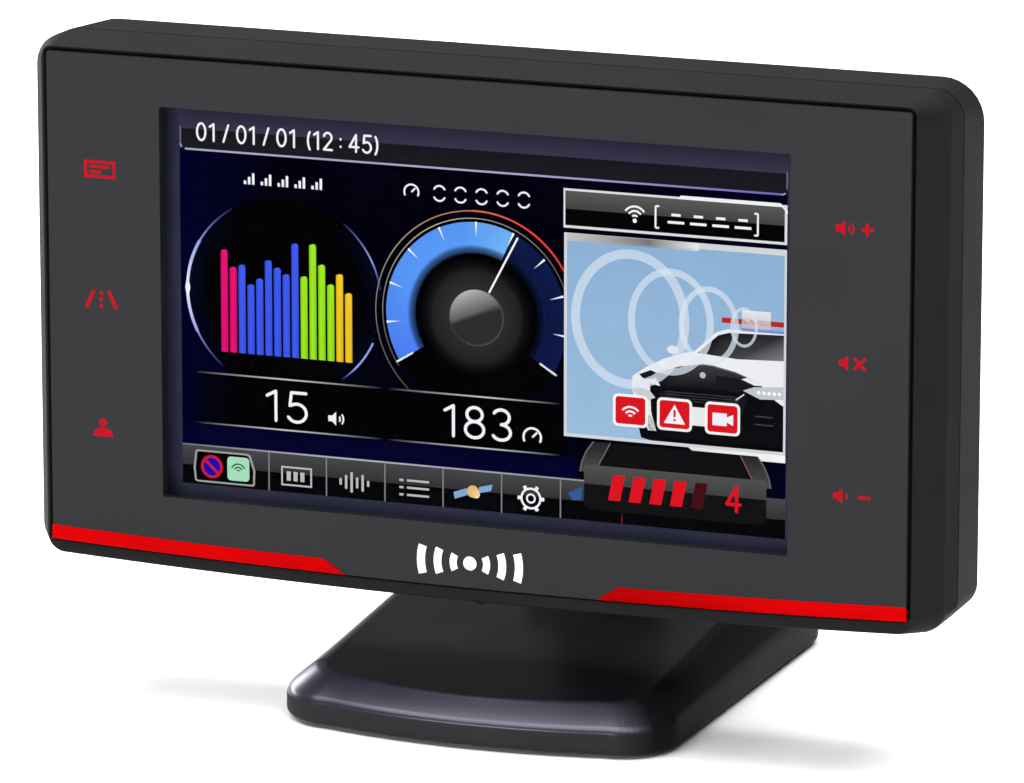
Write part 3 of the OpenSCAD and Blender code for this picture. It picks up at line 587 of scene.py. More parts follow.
class Sketch:
    """Flat shapes that face the driver, in mm from the window's middle, with their colours in the mesh."""

    def __init__(self, name, depth, step=0.004):
        self.name = name
        self.depth = depth
        self.step = step
        self.points = []
        self.faces = []
        self.tints = []

    def lift(self):
        """Later shapes lie a little in front of the earlier ones."""
        self.depth -= self.step

    def fill(self, outline, *colours):
        """One polygon, in one colour or with one colour for each of its points."""
        start = len(self.points)
        self.points += [head_point(x, self.depth, z) for x, z in outline]
        self.faces.append(tuple(range(start, start + len(outline))))
        self.tints += [linear(*c) for c in (colours if len(colours) > 1 else colours * len(outline))]

    def band(self, x0, z0, x1, z1, low, high):
        """A rectangle whose colour runs from its lower to its upper edge."""
        self.fill([(x0, z0), (x1, z0), (x1, z1), (x0, z1)], low, low, high, high)

    def across(self, x0, z0, x1, z1, left, right):
        self.fill([(x0, z0), (x1, z0), (x1, z1), (x0, z1)], left, right, right, left)

    def rect(self, x0, z0, x1, z1, colour):
        self.fill([(x0, z0), (x1, z0), (x1, z1), (x0, z1)], colour)

    def badge(self, x, z, half_w, half_h, r, colour):
        """A rounded rectangle about its middle."""
        self.fill([(x + px, z + pz) for px, pz in rounded(half_w, half_h, half_h, r, r)], colour)

    def edge(self, x0, z0, x1, z1, width, colour):
        """The four sides of a rectangle."""
        self.rect(x0, z0, x1, z0 + width, colour)
        self.rect(x0, z1 - width, x1, z1, colour)
        self.rect(x0, z0 + width, x0 + width, z1 - width, colour)
        self.rect(x1 - width, z0 + width, x1, z1 - width, colour)

    def disc(self, cx, cz, r, colour, steps=40, squash=1.0):
        turn = [math.tau * i / steps for i in range(steps)]
        self.fill([(cx + r * math.cos(a), cz + r * squash * math.sin(a)) for a in turn], colour)

    def ring(self, cx, cz, outer, inner, colours, start=0.0, end=360.0, tall=1.0, steps=64):
        """Part of a ring. Colours are (outer, inner) at its start, and at its end if they differ there."""
        ends = colours if len(colours) == 4 else colours * 2
        for i in range(steps):
            shares = (i / steps, (i + 1) / steps)
            turns = [math.radians(start + (end - start) * s) for s in shares]
            corners = ((turns[0], outer), (turns[0], inner), (turns[1], inner), (turns[1], outer))
            spots = [(cx + r * math.cos(a), cz + r * tall * math.sin(a)) for a, r in corners]
            shade = [blend_colour(ends[a], ends[a + 2], s) for a, s in
                     ((0, shares[0]), (1, shares[0]), (1, shares[1]), (0, shares[1]))]
            self.fill(spots, *shade)

    def line(self, spots, width, colour):
        """A plain stroke through points, one rectangle for each stretch."""
        for (x0, z0), (x1, z1) in zip(spots, spots[1:]):
            length = math.hypot(x1 - x0, z1 - z0)
            nx = -(z1 - z0) / length * width / 2
            nz = (x1 - x0) / length * width / 2
            self.fill([(x0 + nx, z0 + nz), (x0 - nx, z0 - nz), (x1 - nx, z1 - nz), (x1 + nx, z1 + nz)],
                      colour)

    def stroke(self, spots, width, colour):
        """A line through points with round joints."""
        self.line(spots, width, colour)
        for x, z in spots:
            self.disc(x, z, width / 2, colour, 12)

    def numerals(self, body, x, z, height, colour, weight=0.1, stretch=1.0):
        """Plain numerals drawn as strokes, whose lower left corner is at x, z."""
        across = height * stretch
        for sign in body:
            wide, paths = NUMERALS[sign]
            for path in paths:
                spots = [(x + px * across, z + pz * height) for px, pz in path]
                self.stroke(spots, weight * height, colour)
            x += (wide + 0.17) * across

    def build(self, material, body="head"):
        mesh = bpy.data.meshes.new(self.name)
        mesh.from_pydata(self.points, [], self.faces)
        layer = mesh.color_attributes.new("tint", "FLOAT_COLOR", "POINT")
        for spot, tint in zip(layer.data, self.tints):
            spot.color = tint
        for face in mesh.polygons:
            if face.normal.y > 0:
                face.flip()
        return new_object(self.name, mesh, material, body)


def blend_colour(a, b, share):
    return tuple(p + (q - p) * share for p, q in zip(a, b))


def scale_colour(colour, factor):
    return tuple(c * factor for c in colour)


WHITE = (245, 245, 250)


def draw_background(art):
    """Dark blue ground that fades to black towards the gauges."""
    low = SCREEN_LOW
    high = SCREEN_TOP
    edge = (0, 0, 36)
    mid = (0, 0, 10)
    art.across(-SCREEN_HALF_W, low, -30, high, edge, mid)
    art.across(-30, low, 12, high, mid, mid)
    art.across(12, low, SCREEN_HALF_W, high, mid, (1, 1, 24))
    art.lift()
    art.band(-SCREEN_HALF_W, -20, 14, -16.9, (1, 1, 46), (1, 1, 34))
    art.lift()


def draw_status_bar(art):
    """Clock bar along the top: a lighter upper half, a dark lower half and a bright lower line."""
    low = 20.7
    split = 23.5
    top = SCREEN_TOP
    art.band(-SCREEN_HALF_W, split, SCREEN_HALF_W, top, (58, 53, 76), (40, 36, 54))
    art.band(-SCREEN_HALF_W, low, SCREEN_HALF_W, split, (27, 26, 33), (24, 23, 28))
    art.lift()
    art.across(-42.4, low - 0.12, 6, low + 0.14, (176, 170, 200), (176, 170, 205))
    art.across(6, low - 0.12, 42.4, low + 0.14, (176, 170, 205), (110, 108, 190))
    for side in (-1, 1):
        art.ring(side * 42.3, low + 0.75, 0.87, 0.65, ((176, 170, 205), (150, 145, 180)),
                 225 + 45 * side, 270 + 45 * side, steps=8)
        art.rect(side * 43.05 - 0.1, low + 0.7, side * 43.05 + 0.1, low + 3, (110, 105, 135))
    art.lift()
    art.numerals("01 / 01 / 01  (12 : 45)", -40.7, 21.9, 2.55, WHITE, 0.12)


BAR_HEIGHTS = (14.1, 11.8, 12.2, 9.6, 10.5, 13.1, 12.2, 11.4, 15.7, 11.3, 15.8, 13.1, 10.5, 12.0, 9.5)
BAR_COLOURS = ((238, 16, 120),) * 2 + ((64, 92, 248),) * 7 + ((160, 240, 32),) * 4 + ((252, 206, 36),) * 2


def draw_level_meter(art):
    """Left gauge: a black disc with a bright rim, and fifteen upright bars."""
    cx, cz, r, tall = -28.1, 1.6, 14.1, 0.95
    art.disc(cx, cz, r, (0, 0, 0), squash=tall)
    art.lift()
    halo = (2, 8, 34)
    dim = (0, 0, 6)
    for start, mid, end in ((126, 176, 228), (52, 14, -6), (-6, -28, -54)):
        peak = halo if start > 100 else blend_colour(halo, dim, 0.35)
        art.ring(cx, cz, r, r - 2.4, (dim, dim, peak, dim), start, mid, tall, 24)
        art.ring(cx, cz, r, r - 2.4, (peak, dim, dim, dim), mid, end, tall, 24)
    art.lift()
    faint, glow, white = (30, 32, 84), (150, 158, 240), (246, 248, 255)
    arcs = ((122, 150, faint, glow, 0.22), (150, 181, glow, white, 0.42), (181, 206, white, glow, 0.42),
            (206, 230, glow, faint, 0.22), (52, 26, faint, glow, 0.24), (26, 8, glow, faint, 0.24),
            (-24, -44, glow, glow, 0.26), (-44, -54, glow, faint, 0.22))
    for start, end, first, last, width in arcs:
        art.ring(cx, cz, r + width / 2, r - width / 2, (first, first, last, last), start, end, tall, 20)
    mark = [(cx - r - 0.34, cz + 0.1), (cx - r, cz - 1.7), (cx - r + 0.42, cz + 0.1), (cx - r, cz + 1.9)]
    art.fill(mark, white)
    art.lift()
    pitch, width, base = 1.29, 1.02, -6.8
    for i, (height, colour) in enumerate(zip(BAR_HEIGHTS, BAR_COLOURS)):
        x = -37.3 + i * pitch
        crest = x + width * 0.4
        top = base + height
        dark = blend_colour(colour, (0, 0, 0), 0.16)
        art.fill([(x, base), (crest, base), (crest, top), (x, top - 0.2)], dark, colour, colour, dark)
        art.fill([(crest, base), (x + width, base), (x + width, top - 0.22), (x + width * 0.8, top),
                  (crest, top)], colour, dark, dark, colour, colour)
    art.lift()


DIAL_X = -0.39
DIAL_Z = 0.9
DIAL_START = 211.5
DIAL_END = -31.5
DIAL_NEEDLE = 65.7
HUB_R = 3.9


def dial_line(art, angle, far, near, colour):
    """A thin stroke along a radius of the dial."""
    turn = math.radians(angle)
    tip = [(DIAL_X + r * math.cos(turn), DIAL_Z + r * math.sin(turn)) for r in (far, near)]
    art.line(tip, 0.26, colour)


def draw_dial(art):
    """Right gauge: a lit ring up to the needle, ticks, a soft dark face and a domed hub."""
    face = [(12.9, (0, 0, 0)), (8.0, (0, 0, 0)), (6.9, (14, 14, 14)), (6.1, (34, 34, 35)),
            (3.6, (46, 46, 47))]
    for (outer, rim), (inner, heart) in zip(face, face[1:]):
        art.ring(DIAL_X, DIAL_Z, outer, inner, (rim, heart), steps=48)
    art.lift()
    bright = (118, 186, 255)
    high = (90, 158, 252)
    mid = (90, 156, 255)
    deep = (78, 130, 250)
    sweeps = ((DIAL_START, 150, deep, mid), (150, 100, mid, high), (100, DIAL_NEEDLE, high, bright))
    for r0, r1, tone0, tone1 in ((12.9, 9.9, 0.96, 1.0), (9.9, 9.4, 1.0, 0.6), (9.4, 8.6, 0.6, 0.0)):
        for a0, a1, c0, c1 in sweeps:
            tones = [scale_colour(c, tone) for c in (c0, c1) for tone in (tone0, tone1)]
            art.ring(DIAL_X, DIAL_Z, r0, r1, tones, a0, a1, steps=24)
        unlit = (scale_colour((12, 26, 74), tone0), scale_colour((10, 20, 62), tone1))
        art.ring(DIAL_X, DIAL_Z, r0, r1, unlit, DIAL_NEEDLE, DIAL_END, steps=40)
    art.lift()
    cream = (206, 190, 156)
    sand = (170, 156, 130)
    orange = (206, 120, 84)
    red = (240, 66, 46)
    dim = (96, 92, 84)
    rims = ((13.4, 214, 120, dim, cream, 0.12), (13.4, 120, 14, cream, dim, 0.12),
            (14.4, 228, 150, dim, sand, 0.12), (14.4, 150, 92, sand, orange, 0.14),
            (14.4, 92, 58, orange, red, 0.22), (14.4, 58, 30, red, (200, 60, 50), 0.26))
    for r, start, end, first, last, width in rims:
        art.ring(DIAL_X, DIAL_Z, r + width / 2, r - width / 2, (first, first, last, last), start, end,
                 steps=36)
    art.lift()
    for i in range(11):
        angle = math.radians(DIAL_START + (DIAL_END - DIAL_START) * i / 10)
        across = Vector((-math.sin(angle), math.cos(angle)))
        along = Vector((math.cos(angle), math.sin(angle)))
        centre = Vector((DIAL_X, DIAL_Z))
        outer = centre + along * 12.95
        art.fill([outer + across * 0.16, outer - across * 0.16, centre + along * 10.9], (244, 248, 255))
    for angle in (DIAL_START, DIAL_END):
        dial_line(art, angle, 13.4, 10.6, (226, 230, 240))
    dial_line(art, DIAL_NEEDLE - 3.5, HUB_R, 12.7, (255, 255, 255))
    art.lift()
    draw_hub(art, DIAL_X, DIAL_Z, HUB_R)


def draw_hub(art, cx, cz, r):
    """A domed hub: light from the upper left, and a thin rim light at the lower right."""
    rim = 0.14
    art.ring(cx, cz, r, r - rim, ((70, 70, 72), (56, 56, 58)), 150, 250, steps=16)
    art.ring(cx, cz, r, r - rim, ((96, 96, 98), (70, 70, 72)), -110, 60, steps=24)
    rows = 18
    columns = 36
    for i in range(rows):
        for j in range(columns):
            corners = []
            shade = []
            for di, dj in ((0, 0), (1, 0), (1, 1), (0, 1)):
                share = (i + di) / rows
                a = math.tau * (j + dj) / columns
                x = math.cos(a) * share
                z = math.sin(a) * share
                corners.append((cx + x * (r - rim), cz + z * (r - rim)))
                light = z * 0.85 - x * 0.35
                tone = 46 + 46 * min(1.0, max(0.0, (light - 0.02) * 8)) + 112 * max(0.0, light - 0.1)
                shade.append((tone, tone, tone))
            if i == 0:
                art.fill(corners[1:], *shade[1:])
            else:
                art.fill(corners, *shade)
    art.lift()


def draw_readouts(art):
    """Black number band between two fading lines, with a reading under each gauge."""
    top = -9.9
    low = -16.9
    dark = (20, 20, 26)
    pale = (206, 206, 210)
    art.across(-41, low, -36, top, (0, 0, 20), (0, 0, 0))
    art.rect(-36, low, 12, top, (0, 0, 0))
    art.lift()
    for z in (top, low):
        for x0, x1, x2 in ((-41, -28, -14), (-13, 1, 11.5)):
            art.across(x0, z - 0.1, x1, z + 0.1, dark, pale)
            art.across(x1, z - 0.1, x2, z + 0.1, pale, dark)
    art.numerals("15", -30.9, -15.9, 4.5, WHITE, 0.095, 1.3)
    art.numerals("183", -5.1, -15.8, 4.6, WHITE, 0.095, 1.2)
    draw_sound_icon(art, -20.6, -14.7, 1.15, WHITE, 2)
    draw_gauge_icon(art, 7.6, -14.8, 1.4)
    art.lift()


def draw_sound_icon(art, x, z, size, colour, waves):
    """A loudspeaker with sound waves."""
    half = size / 2
    slim = size * 0.35
    tall = size * 0.85
    art.fill([(x - size, z - slim), (x - half, z - slim), (x, z - tall), (x, z + tall),
              (x - half, z + slim), (x - size, z + slim)], colour)
    for i in range(waves):
        r = size * (0.55 + 0.42 * i)
        art.ring(x + size * 0.05, z, r, r - size * 0.2, (colour, colour), -42, 42, steps=10)


def draw_gauge_icon(art, x, z, size):
    art.ring(x, z, size, size * 0.78, (WHITE, WHITE), -30, 210, steps=24)
    art.line([(x, z), (x + size * 0.5, z + size * 0.5)], size * 0.2, WHITE)


def draw_captions(art):
    """Small pictograms over the gauges."""
    for i in range(5):
        x = -33.8 + i * 2.45
        for k in range(3):
            art.rect(x + k * 0.6, 16.5, x + k * 0.6 + 0.36, 17.0 + k * 0.52, WHITE)
    draw_gauge_icon(art, -9.6, 17.2, 1.15)
    for i in range(5):
        art.ring(-5.6 + i * 3.0, 17.5, 0.95, 0.7, (WHITE, WHITE), 20, 160, steps=10)
        art.ring(-5.6 + i * 3.0, 17.1, 0.95, 0.7, (WHITE, WHITE), 200, 340, steps=10)
    art.lift()


def draw_icon_row(art):
    """Row of status cells along the bottom."""
    low = SCREEN_LOW
    split = -22.9
    top = -20.1
    art.band(-SCREEN_HALF_W, split, SCREEN_HALF_W, top, (50, 50, 52), (72, 72, 74))
    art.rect(-SCREEN_HALF_W, low, SCREEN_HALF_W, split, (4, 4, 5))
    art.lift()
    art.across(-SCREEN_HALF_W, top - 0.1, -20, top + 0.12, (110, 108, 120), (186, 186, 196))
    art.across(-20, top - 0.1, 15, top + 0.12, (186, 186, 196), (150, 150, 160))
    for x in (-30.5, -22.1, -13.6, -5.2, 3.2, 11.6):
        art.rect(x - 0.09, low, x + 0.09, top, (132, 132, 138))
    art.lift()
    art.fill([(-41.3, -20.9), (-41.0, -20.7), (-33.7, -20.7), (-33.2, -20.9), (-32.5, -23.0),
              (-32.6, -25.0), (-32.9, -25.2), (-41.0, -25.2), (-41.4, -25.0), (-41.6, -23.2)],
             (160, 160, 162))
    art.lift()
    art.fill([(-41.05, -21.1), (-40.9, -20.95), (-33.9, -20.95), (-33.45, -21.1), (-32.8, -23.05),
              (-32.85, -24.85), (-33.1, -24.95), (-40.9, -24.95), (-41.15, -24.85), (-41.3, -23.2)],
             (2, 2, 3))
    art.lift()
    art.disc(-38.9, -22.95, 1.62, (206, 24, 44))
    art.badge(-35.0, -22.95, 1.62, 1.66, 0.55, (168, 226, 190))
    art.lift()
    art.disc(-38.9, -22.95, 1.22, (20, 14, 176))
    for r in (1.15, 0.7, 0.28):
        art.ring(-35.0, -23.3, r, r - 0.2, ((40, 96, 62), (40, 96, 62)), 25, 155, steps=12)
    art.lift()
    art.line([(-39.8, -22.1), (-38.0, -23.8)], 0.42, (206, 24, 44))
    pale = (190, 190, 192)
    art.edge(-28.7, -24.6, -24.2, -21.9, 0.24, pale)
    for x in (-27.9, -26.9, -25.9):
        art.rect(x, -23.9, x + 0.6, -22.6, pale)
    for i, height in enumerate((0.9, 1.9, 2.8, 1.5, 2.3, 0.8)):
        art.rect(-20.2 + i * 0.8, -23.3 - height / 2, -19.85 + i * 0.8, -23.3 + height / 2, pale)
    for z in (-22.3, -23.3, -24.3):
        art.rect(-11.5, z - 0.15, -10.9, z + 0.15, pale)
        art.rect(-10.4, z - 0.15, -7.2, z + 0.15, pale)
    draw_satellite(art, -0.9, -23.0)
    draw_gear(art, 7.4, -23.2)
    art.lift()


def draw_gear(art, x, z):
    """A gear wheel with six teeth."""
    art.ring(x, z, 1.5, 1.2, (WHITE, WHITE), steps=28)
    art.ring(x, z, 0.7, 0.45, (WHITE, WHITE), steps=20)
    for i in range(6):
        turn = math.tau * i / 6
        art.line([(x + r * math.cos(turn), z + r * math.sin(turn)) for r in (1.4, 1.9)], 0.5, WHITE)


def draw_satellite(art, x, z):
    """A satellite: two blue wings on a pale body."""
    for side in (-1, 1):
        art.fill([(x + side * 0.7, z + side * 0.15 - 0.35), (x + side * 2.6, z + side * 0.75 - 0.45),
                  (x + side * 2.8, z + side * 0.75 + 0.45), (x + side * 0.9, z + side * 0.15 + 0.55)],
                 (130, 172, 214))
    art.lift()
    art.disc(x, z, 0.85, (236, 190, 118), 20)
    art.disc(x + 0.45, z - 0.35, 0.55, (248, 226, 190), 16)


SKY = (143, 180, 216)
CAR_WHITE = (240, 241, 244)


def draw_radar_view(art):
    """Right view: a titled header over a picture of a patrol car under a blue sky."""
    left, right = 12.1, 43.15
    low, top = -14.2, 13.4
    art.rect(left, low, right, top, (214, 218, 222))
    art.rect(left - 0.1, 14.05, right, 19.35, (226, 226, 228))
    art.fill([(29.6, low), (31.0, low - 1.0), (right, low - 1.0), (right, low)], (236, 236, 236),
             (150, 150, 150), (246, 246, 246), (250, 250, 250))
    art.lift()
    art.across(left + 0.35, top - 1.1, 24, top - 0.05, (206, 200, 196), (120, 118, 116))
    art.across(24, top - 1.1, 31, top - 0.05, (120, 118, 116), (236, 236, 236))
    art.band(left + 0.4, low + 0.45, right - 0.32, top - 0.8, (158, 192, 224), SKY)
    art.band(left + 0.15, 16.6, right - 0.35, 19.05, (64, 64, 64), (92, 91, 88))
    art.rect(left + 0.15, 14.4, right - 0.35, 16.6, (2, 2, 2))
    art.lift()
    art.fill([(28.0, 19.05), (28.4, 19.55), (42.2, 19.55), (43.2, 18.6), (43.2, 18.2), (42.4, 19.05)],
             WHITE)
    for r in (1.75, 1.15, 0.55):
        art.ring(22.0, 16.0, r, r - 0.28, (WHITE, WHITE), 35, 145, steps=14)
    art.disc(22.0, 15.7, 0.3, WHITE, 14)
    for i in range(4):
        art.rect(26.6 + i * 3.1, 15.7, 28.9 + i * 3.1, 16.05, WHITE)
        art.rect(27.1 + i * 3.1, 16.7, 28.4 + i * 3.1, 17.05, WHITE)
    art.line([(25.4, 15.0), (24.9, 15.0), (24.9, 17.9), (25.4, 17.9)], 0.26, WHITE)
    art.line([(38.6, 15.0), (39.1, 15.0), (39.1, 17.9), (38.6, 17.9)], 0.26, WHITE)
    art.lift()
    draw_car(art, right - 0.32, low + 0.45)


def draw_car(art, edge, ground):
    """Front of a plain white and black patrol car, cut off by the picture's edge."""
    black = (10, 11, 13)
    coal = (24, 25, 28)
    steel = (62, 63, 68)
    middle = 31.6
    art.fill([(24.4, ground), (23.0, ground + 0.3), (22.6, ground + 2.0), (23.6, -10.3), (edge, -10.3),
              (edge, ground)], (6, 6, 7))
    art.fill([(21.6, -6.4), (21.8, -5.2), (23.6, -3.9), (26.0, -2.6), (29.0, -1.5), (30.4, -1.2),
              (33.4, 1.6), (35.0, 2.15), (edge, 2.45), (edge, -12.4), (24.0, -12.4), (22.4, -9.4)],
             CAR_WHITE)
    art.disc(27.4, -1.2, 0.8, (232, 234, 238), 20, 0.7)
    art.rect(34.2, 3.0, edge, 3.7, (190, 40, 34))
    art.band(37.0, 2.5, 41.0, 4.9, (188, 190, 194), (236, 237, 239))
    art.lift()
    art.fill([(30.9, -1.35), (33.7, 1.25), (35.2, 1.7), (edge, 1.95), (edge, -1.5), (36.4, -1.75)],
             black, (22, 22, 24), (30, 30, 33), (40, 40, 44), (126, 128, 132), (70, 71, 75))
    art.fill([(22.7, -4.9), (24.3, -4.2), (25.4, -4.6), (24.8, -5.3), (23.4, -5.5)], coal)
    art.fill([(24.7, -4.7), (28.2, -3.4), (32.2, -2.7), (36.2, -3.5), (39.6, -4.7), (40.6, -6.4),
              (25.9, -6.6)],
             (30, 31, 35), (44, 45, 50), (60, 61, 67), (48, 49, 54), (34, 35, 39), black, black)
    art.fill([(24.2, -6.0), (25.9, -6.3), (40.6, -6.2), (edge, -7.6), (edge, -13.2), (25.4, -13.2),
              (24.4, -9.8)], black)
    art.lift()
    art.line([(24.9, -4.75), (28.2, -3.5), (32.2, -2.8), (36.2, -3.6), (39.6, -4.8)], 0.1,
             (126, 127, 132))
    art.fill([(37.2, -5.9), (38.8, -5.3), (edge, -5.0), (edge, -6.7), (39.6, -6.9)], (198, 202, 210))
    art.fill([(33.4, -4.2), (36.2, -4.3), (38.4, -5.2), (36.4, -6.2), (33.6, -5.6)], coal)
    art.fill([(edge, -3.1), (39.4, -3.6), (37.0, -4.4), (38.8, -5.1), (edge, -4.9)], CAR_WHITE)
    art.fill([(21.7, -7.0), (22.4, -6.5), (24.2, -7.0), (25.0, -7.9), (23.2, -8.6)], (206, 210, 216))
    art.rect(29.9, -11.2, 33.9, -8.7, (236, 237, 238))
    art.disc(middle, -4.3, 0.42, (190, 192, 198), 14)
    for side in (-1, 1):
        corners = ((3.4, -7.0), (6.2, -7.0), (5.4, -9.6), (3.0, -9.6))
        art.fill([(middle + side * px, z) for px, z in corners], coal)
    art.lift()
    for i in range(4):
        z = -6.95 - i * 0.36
        art.rect(26.4, z, 36.6, z + 0.1, steel)
    for i in range(5):
        art.disc(39.4 + i * 0.72, -6.0, 0.25, (252, 253, 255), 12)
    for z in (-9.3, -10.4):
        art.rect(38.9, z, 41.4, z + 0.18, steel)
    art.line([(36.2, -7.3), (37.4, -6.4)], 0.16, (226, 228, 232))
    art.rect(36.9, 2.1, edge, 2.5, (120, 150, 214))
    art.lift()


def draw_waves(art):
    """Radar waves that widen away from the car."""
    pale = (226, 236, 248)
    steps = 56
    for cx, cz, wide, tall, width in ((21.4, 2.4, 8.3, 9.4, 1.25), (27.1, 2.5, 6.0, 7.2, 0.95),
                                      (32.4, 2.4, 4.2, 5.3, 0.75), (37.3, 2.6, 1.9, 2.7, 0.4)):
        for i in range(steps):
            turns = [math.tau * (i + k) / steps for k in (0, 1)]
            corners = ((turns[0], 0), (turns[0], width), (turns[1], width), (turns[1], 0))
            art.fill([(cx + (wide - inset) * math.cos(a), cz + (tall - inset) * math.sin(a))
                      for a, inset in corners], pale)
        art.lift()


def draw_alert(art):
    """Three red warning pictograms over the picture."""
    red = (222, 22, 32)
    places = (21.5, 27.7, 34.4)
    z = -9.95
    for x in places:
        art.badge(x, z, 2.45, 2.2, 0.7, (252, 250, 250))
    art.lift()
    for x in places:
        art.badge(x, z, 2.1, 1.85, 0.45, red)
    art.lift()
    waves, sign, lens = places
    for r in (1.6, 1.0, 0.45):
        art.ring(waves, -10.9, r, r - 0.28, (WHITE, WHITE), 40, 140, steps=12)
    art.fill([(sign - 1.5, -11.2), (sign + 1.5, -11.2), (sign, -8.6)], WHITE)
    art.rect(lens - 1.4, -10.9, lens + 0.6, -9.2, WHITE)
    art.fill([(lens + 0.6, -10.4), (lens + 1.5, -10.8), (lens + 1.5, -9.3), (lens + 0.6, -9.7)], WHITE)
    art.lift()
    art.rect(sign - 0.16, -10.3, sign + 0.16, -9.35, red)
    art.rect(sign - 0.16, -10.85, sign + 0.16, -10.55, red)
    art.lift()


def draw_level_box(art):
    """A hooded box below the picture, with a row of level bars and a numeral."""
    middle = 27.8
    left = [(16.3, -14.6), (15.3, -16.0), (14.7, -17.4), (14.4, -18.8)]
    right = [(2 * middle - x, z) for x, z in left]
    dark = (36, 37, 37)
    light = (74, 76, 75)
    shades = [blend_colour(dark, light, share) for share in (0, 0.3, 0.7, 1)]
    art.fill(left + right[::-1], *(shades + shades[::-1]))
    art.lift()
    art.fill([(18.7, -14.6), (36.9, -14.6), (38.6, -17.8), (17.0, -17.8)], (15, 15, 16))
    art.band(15.0, -20.4, 40.6, -17.8, (62, 63, 62), (80, 82, 80))
    art.fill([(15.0, -20.4), (40.6, -20.4), (40.6, -23.3), (39.8, -23.9), (15.8, -23.9), (15.0, -23.3)],
             (16, 17, 17))
    art.lift()
    for side in (left, right):
        art.line(side, 0.18, (104, 106, 106))
    art.line([(18.7, -14.6), (17.0, -17.8)], 0.12, (120, 120, 122))
    art.line([(36.9, -14.6), (38.6, -17.8)], 0.12, (150, 96, 96))
    red = (222, 20, 32)
    for i in range(5):
        x = 18.4 + i * 2.9
        tone = red if i < 4 else (70, 14, 18)
        art.fill([(x, -22.4), (x + 1.7, -22.4), (x + 2.4, -18.9), (x + 0.7, -18.9)], tone)
    art.numerals("4", 34.9, -22.5, 3.7, red, 0.13)
    art.fill([(12.7, -21.9), (14.7, -20.9), (14.7, -22.6), (13.4, -22.9)], (48, 92, 150))
    art.rect(20.3, -25.4, 20.42, -24.2, (150, 30, 34))
    art.lift()


def build_screen():
    """Everything that the screen shows, as thin lit layers over the screen's glass."""
    outer = rounded(47.2, 29.0, 29.0, 0.3, 0.3)
    inner = rounded(SCREEN_HALF_W, SCREEN_TOP, -SCREEN_LOW, 0.05, 0.05)
    back = LCD_DEPTH - 0.02
    front = LCD_DEPTH - 0.05
    sides = ((back, outer), (front, outer), (front, inner), (back, inner))
    mask = [head_ring(depth, outline) for depth, outline in sides]
    # the mask's blue-grey is painted haze, a faint reflection in the film
    lofted("screen_mask_painted_haze", mask, HAZED_MASK, "head", loop=True)
    art = Sketch("screen_picture", LCD_DEPTH - 0.03)
    for draw in (draw_background, draw_status_bar, draw_icon_row, draw_level_meter, draw_dial,
                 draw_readouts, draw_captions, draw_radar_view):
        draw(art)
    art.build(PICTURE)
    waves = Sketch("screen_waves", art.depth - 0.002, 0.002)
    draw_waves(waves)
    waves.build(WAVES)
    alert = Sketch("screen_alert", waves.depth - 0.004)
    draw_alert(alert)
    draw_level_box(alert)
    alert.build(PICTURE)


# ---------------------------------------------------------------- prints on the panel

RED_TONE = (214, 22, 34)
KEY_X = 53.4
MARK_Z = -32.0


def key_display(art, x, z):
    art.edge(x - 2.3, z - 1.15, x + 2.3, z + 1.25, 0.4, RED_TONE)
    art.rect(x - 1.5, z - 0.5, x + 0.3, z - 0.12, RED_TONE)
    art.rect(x - 1.5, z + 0.22, x + 1.5, z + 0.6, RED_TONE)


def key_road(art, x, z):
    art.line([(x - 2.2, z - 1.2), (x - 1.1, z + 1.2)], 0.5, RED_TONE)
    art.line([(x + 2.2, z - 1.2), (x + 1.1, z + 1.2)], 0.5, RED_TONE)
    for k in (-0.9, 0.0, 0.9):
        art.rect(x - 0.2, z + k - 0.26, x + 0.2, z + k + 0.26, RED_TONE)


def key_person(art, x, z):
    art.disc(x, z + 0.72, 0.56, RED_TONE, 20)
    art.fill([(x - 1.5, z - 1.2), (x + 1.5, z - 1.2), (x + 1.3, z - 0.45), (x + 0.6, z - 0.05),
              (x - 0.6, z - 0.05), (x - 1.3, z - 0.45)], RED_TONE)


def key_louder(art, x, z):
    draw_sound_icon(art, x - 1.2, z, 1.25, RED_TONE, 2)
    art.rect(x + 1.0, z - 0.21, x + 2.7, z + 0.21, RED_TONE)
    for low in (-0.85, 0.21):
        art.rect(x + 1.64, z + low, x + 2.06, z + low + 0.64, RED_TONE)


def key_mute(art, x, z):
    draw_sound_icon(art, x - 0.6, z, 1.25, RED_TONE, 0)
    art.line([(x + 0.2, z - 0.8), (x + 1.8, z + 0.8)], 0.42, RED_TONE)
    for side in (-1, 1):
        spots = [(x + 1 + side * reach, z - side * reach) for reach in (0.2, 0.8)]
        art.line(spots, 0.42, RED_TONE)


def key_quieter(art, x, z):
    draw_sound_icon(art, x - 1.2, z, 1.25, RED_TONE, 1)
    art.rect(x + 1.0, z - 0.21, x + 2.7, z + 0.21, RED_TONE)


def build_prints():
    """Key pictograms beside the window and a plain signal mark under it."""
    print_depth = -0.012
    keys = Sketch("key_prints", print_depth)
    left = (key_display, key_road, key_person)
    right = (key_louder, key_mute, key_quieter)
    for x, makers in ((-KEY_X, left), (KEY_X, right)):
        for z, maker in zip((17.65, -0.2, -18.0), makers):
            maker(keys, x, z)
    keys.build(KEY_INK)
    mark = Sketch("panel_mark", print_depth)
    for middle in (180, 0):
        for r, thick in ((7.6, 1.15), (5.2, 1.1), (2.9, 1.0)):
            half = 15 + (8 - r) * 2.2
            mark.ring(0, MARK_Z, r, r - thick, (WHITE, WHITE), middle - half, middle + half, steps=12)
    mark.disc(0, MARK_Z, 0.95, WHITE, 24)
    mark.build(MARK_INK)


# ---------------------------------------------------------------- the stand

BASE_HALF_W = base_high.x / MM
BASE_HALF_D = base_high.y / MM
SKIRT_Z = base_low.z / MM
FRONT_TOP = 5.4
BACK_TOP = 13.1
SKIRT_H = 2.6
BASE_BOW = 3.3
FRONT_INSET = 4.2
SIDE_INSET = 5.0

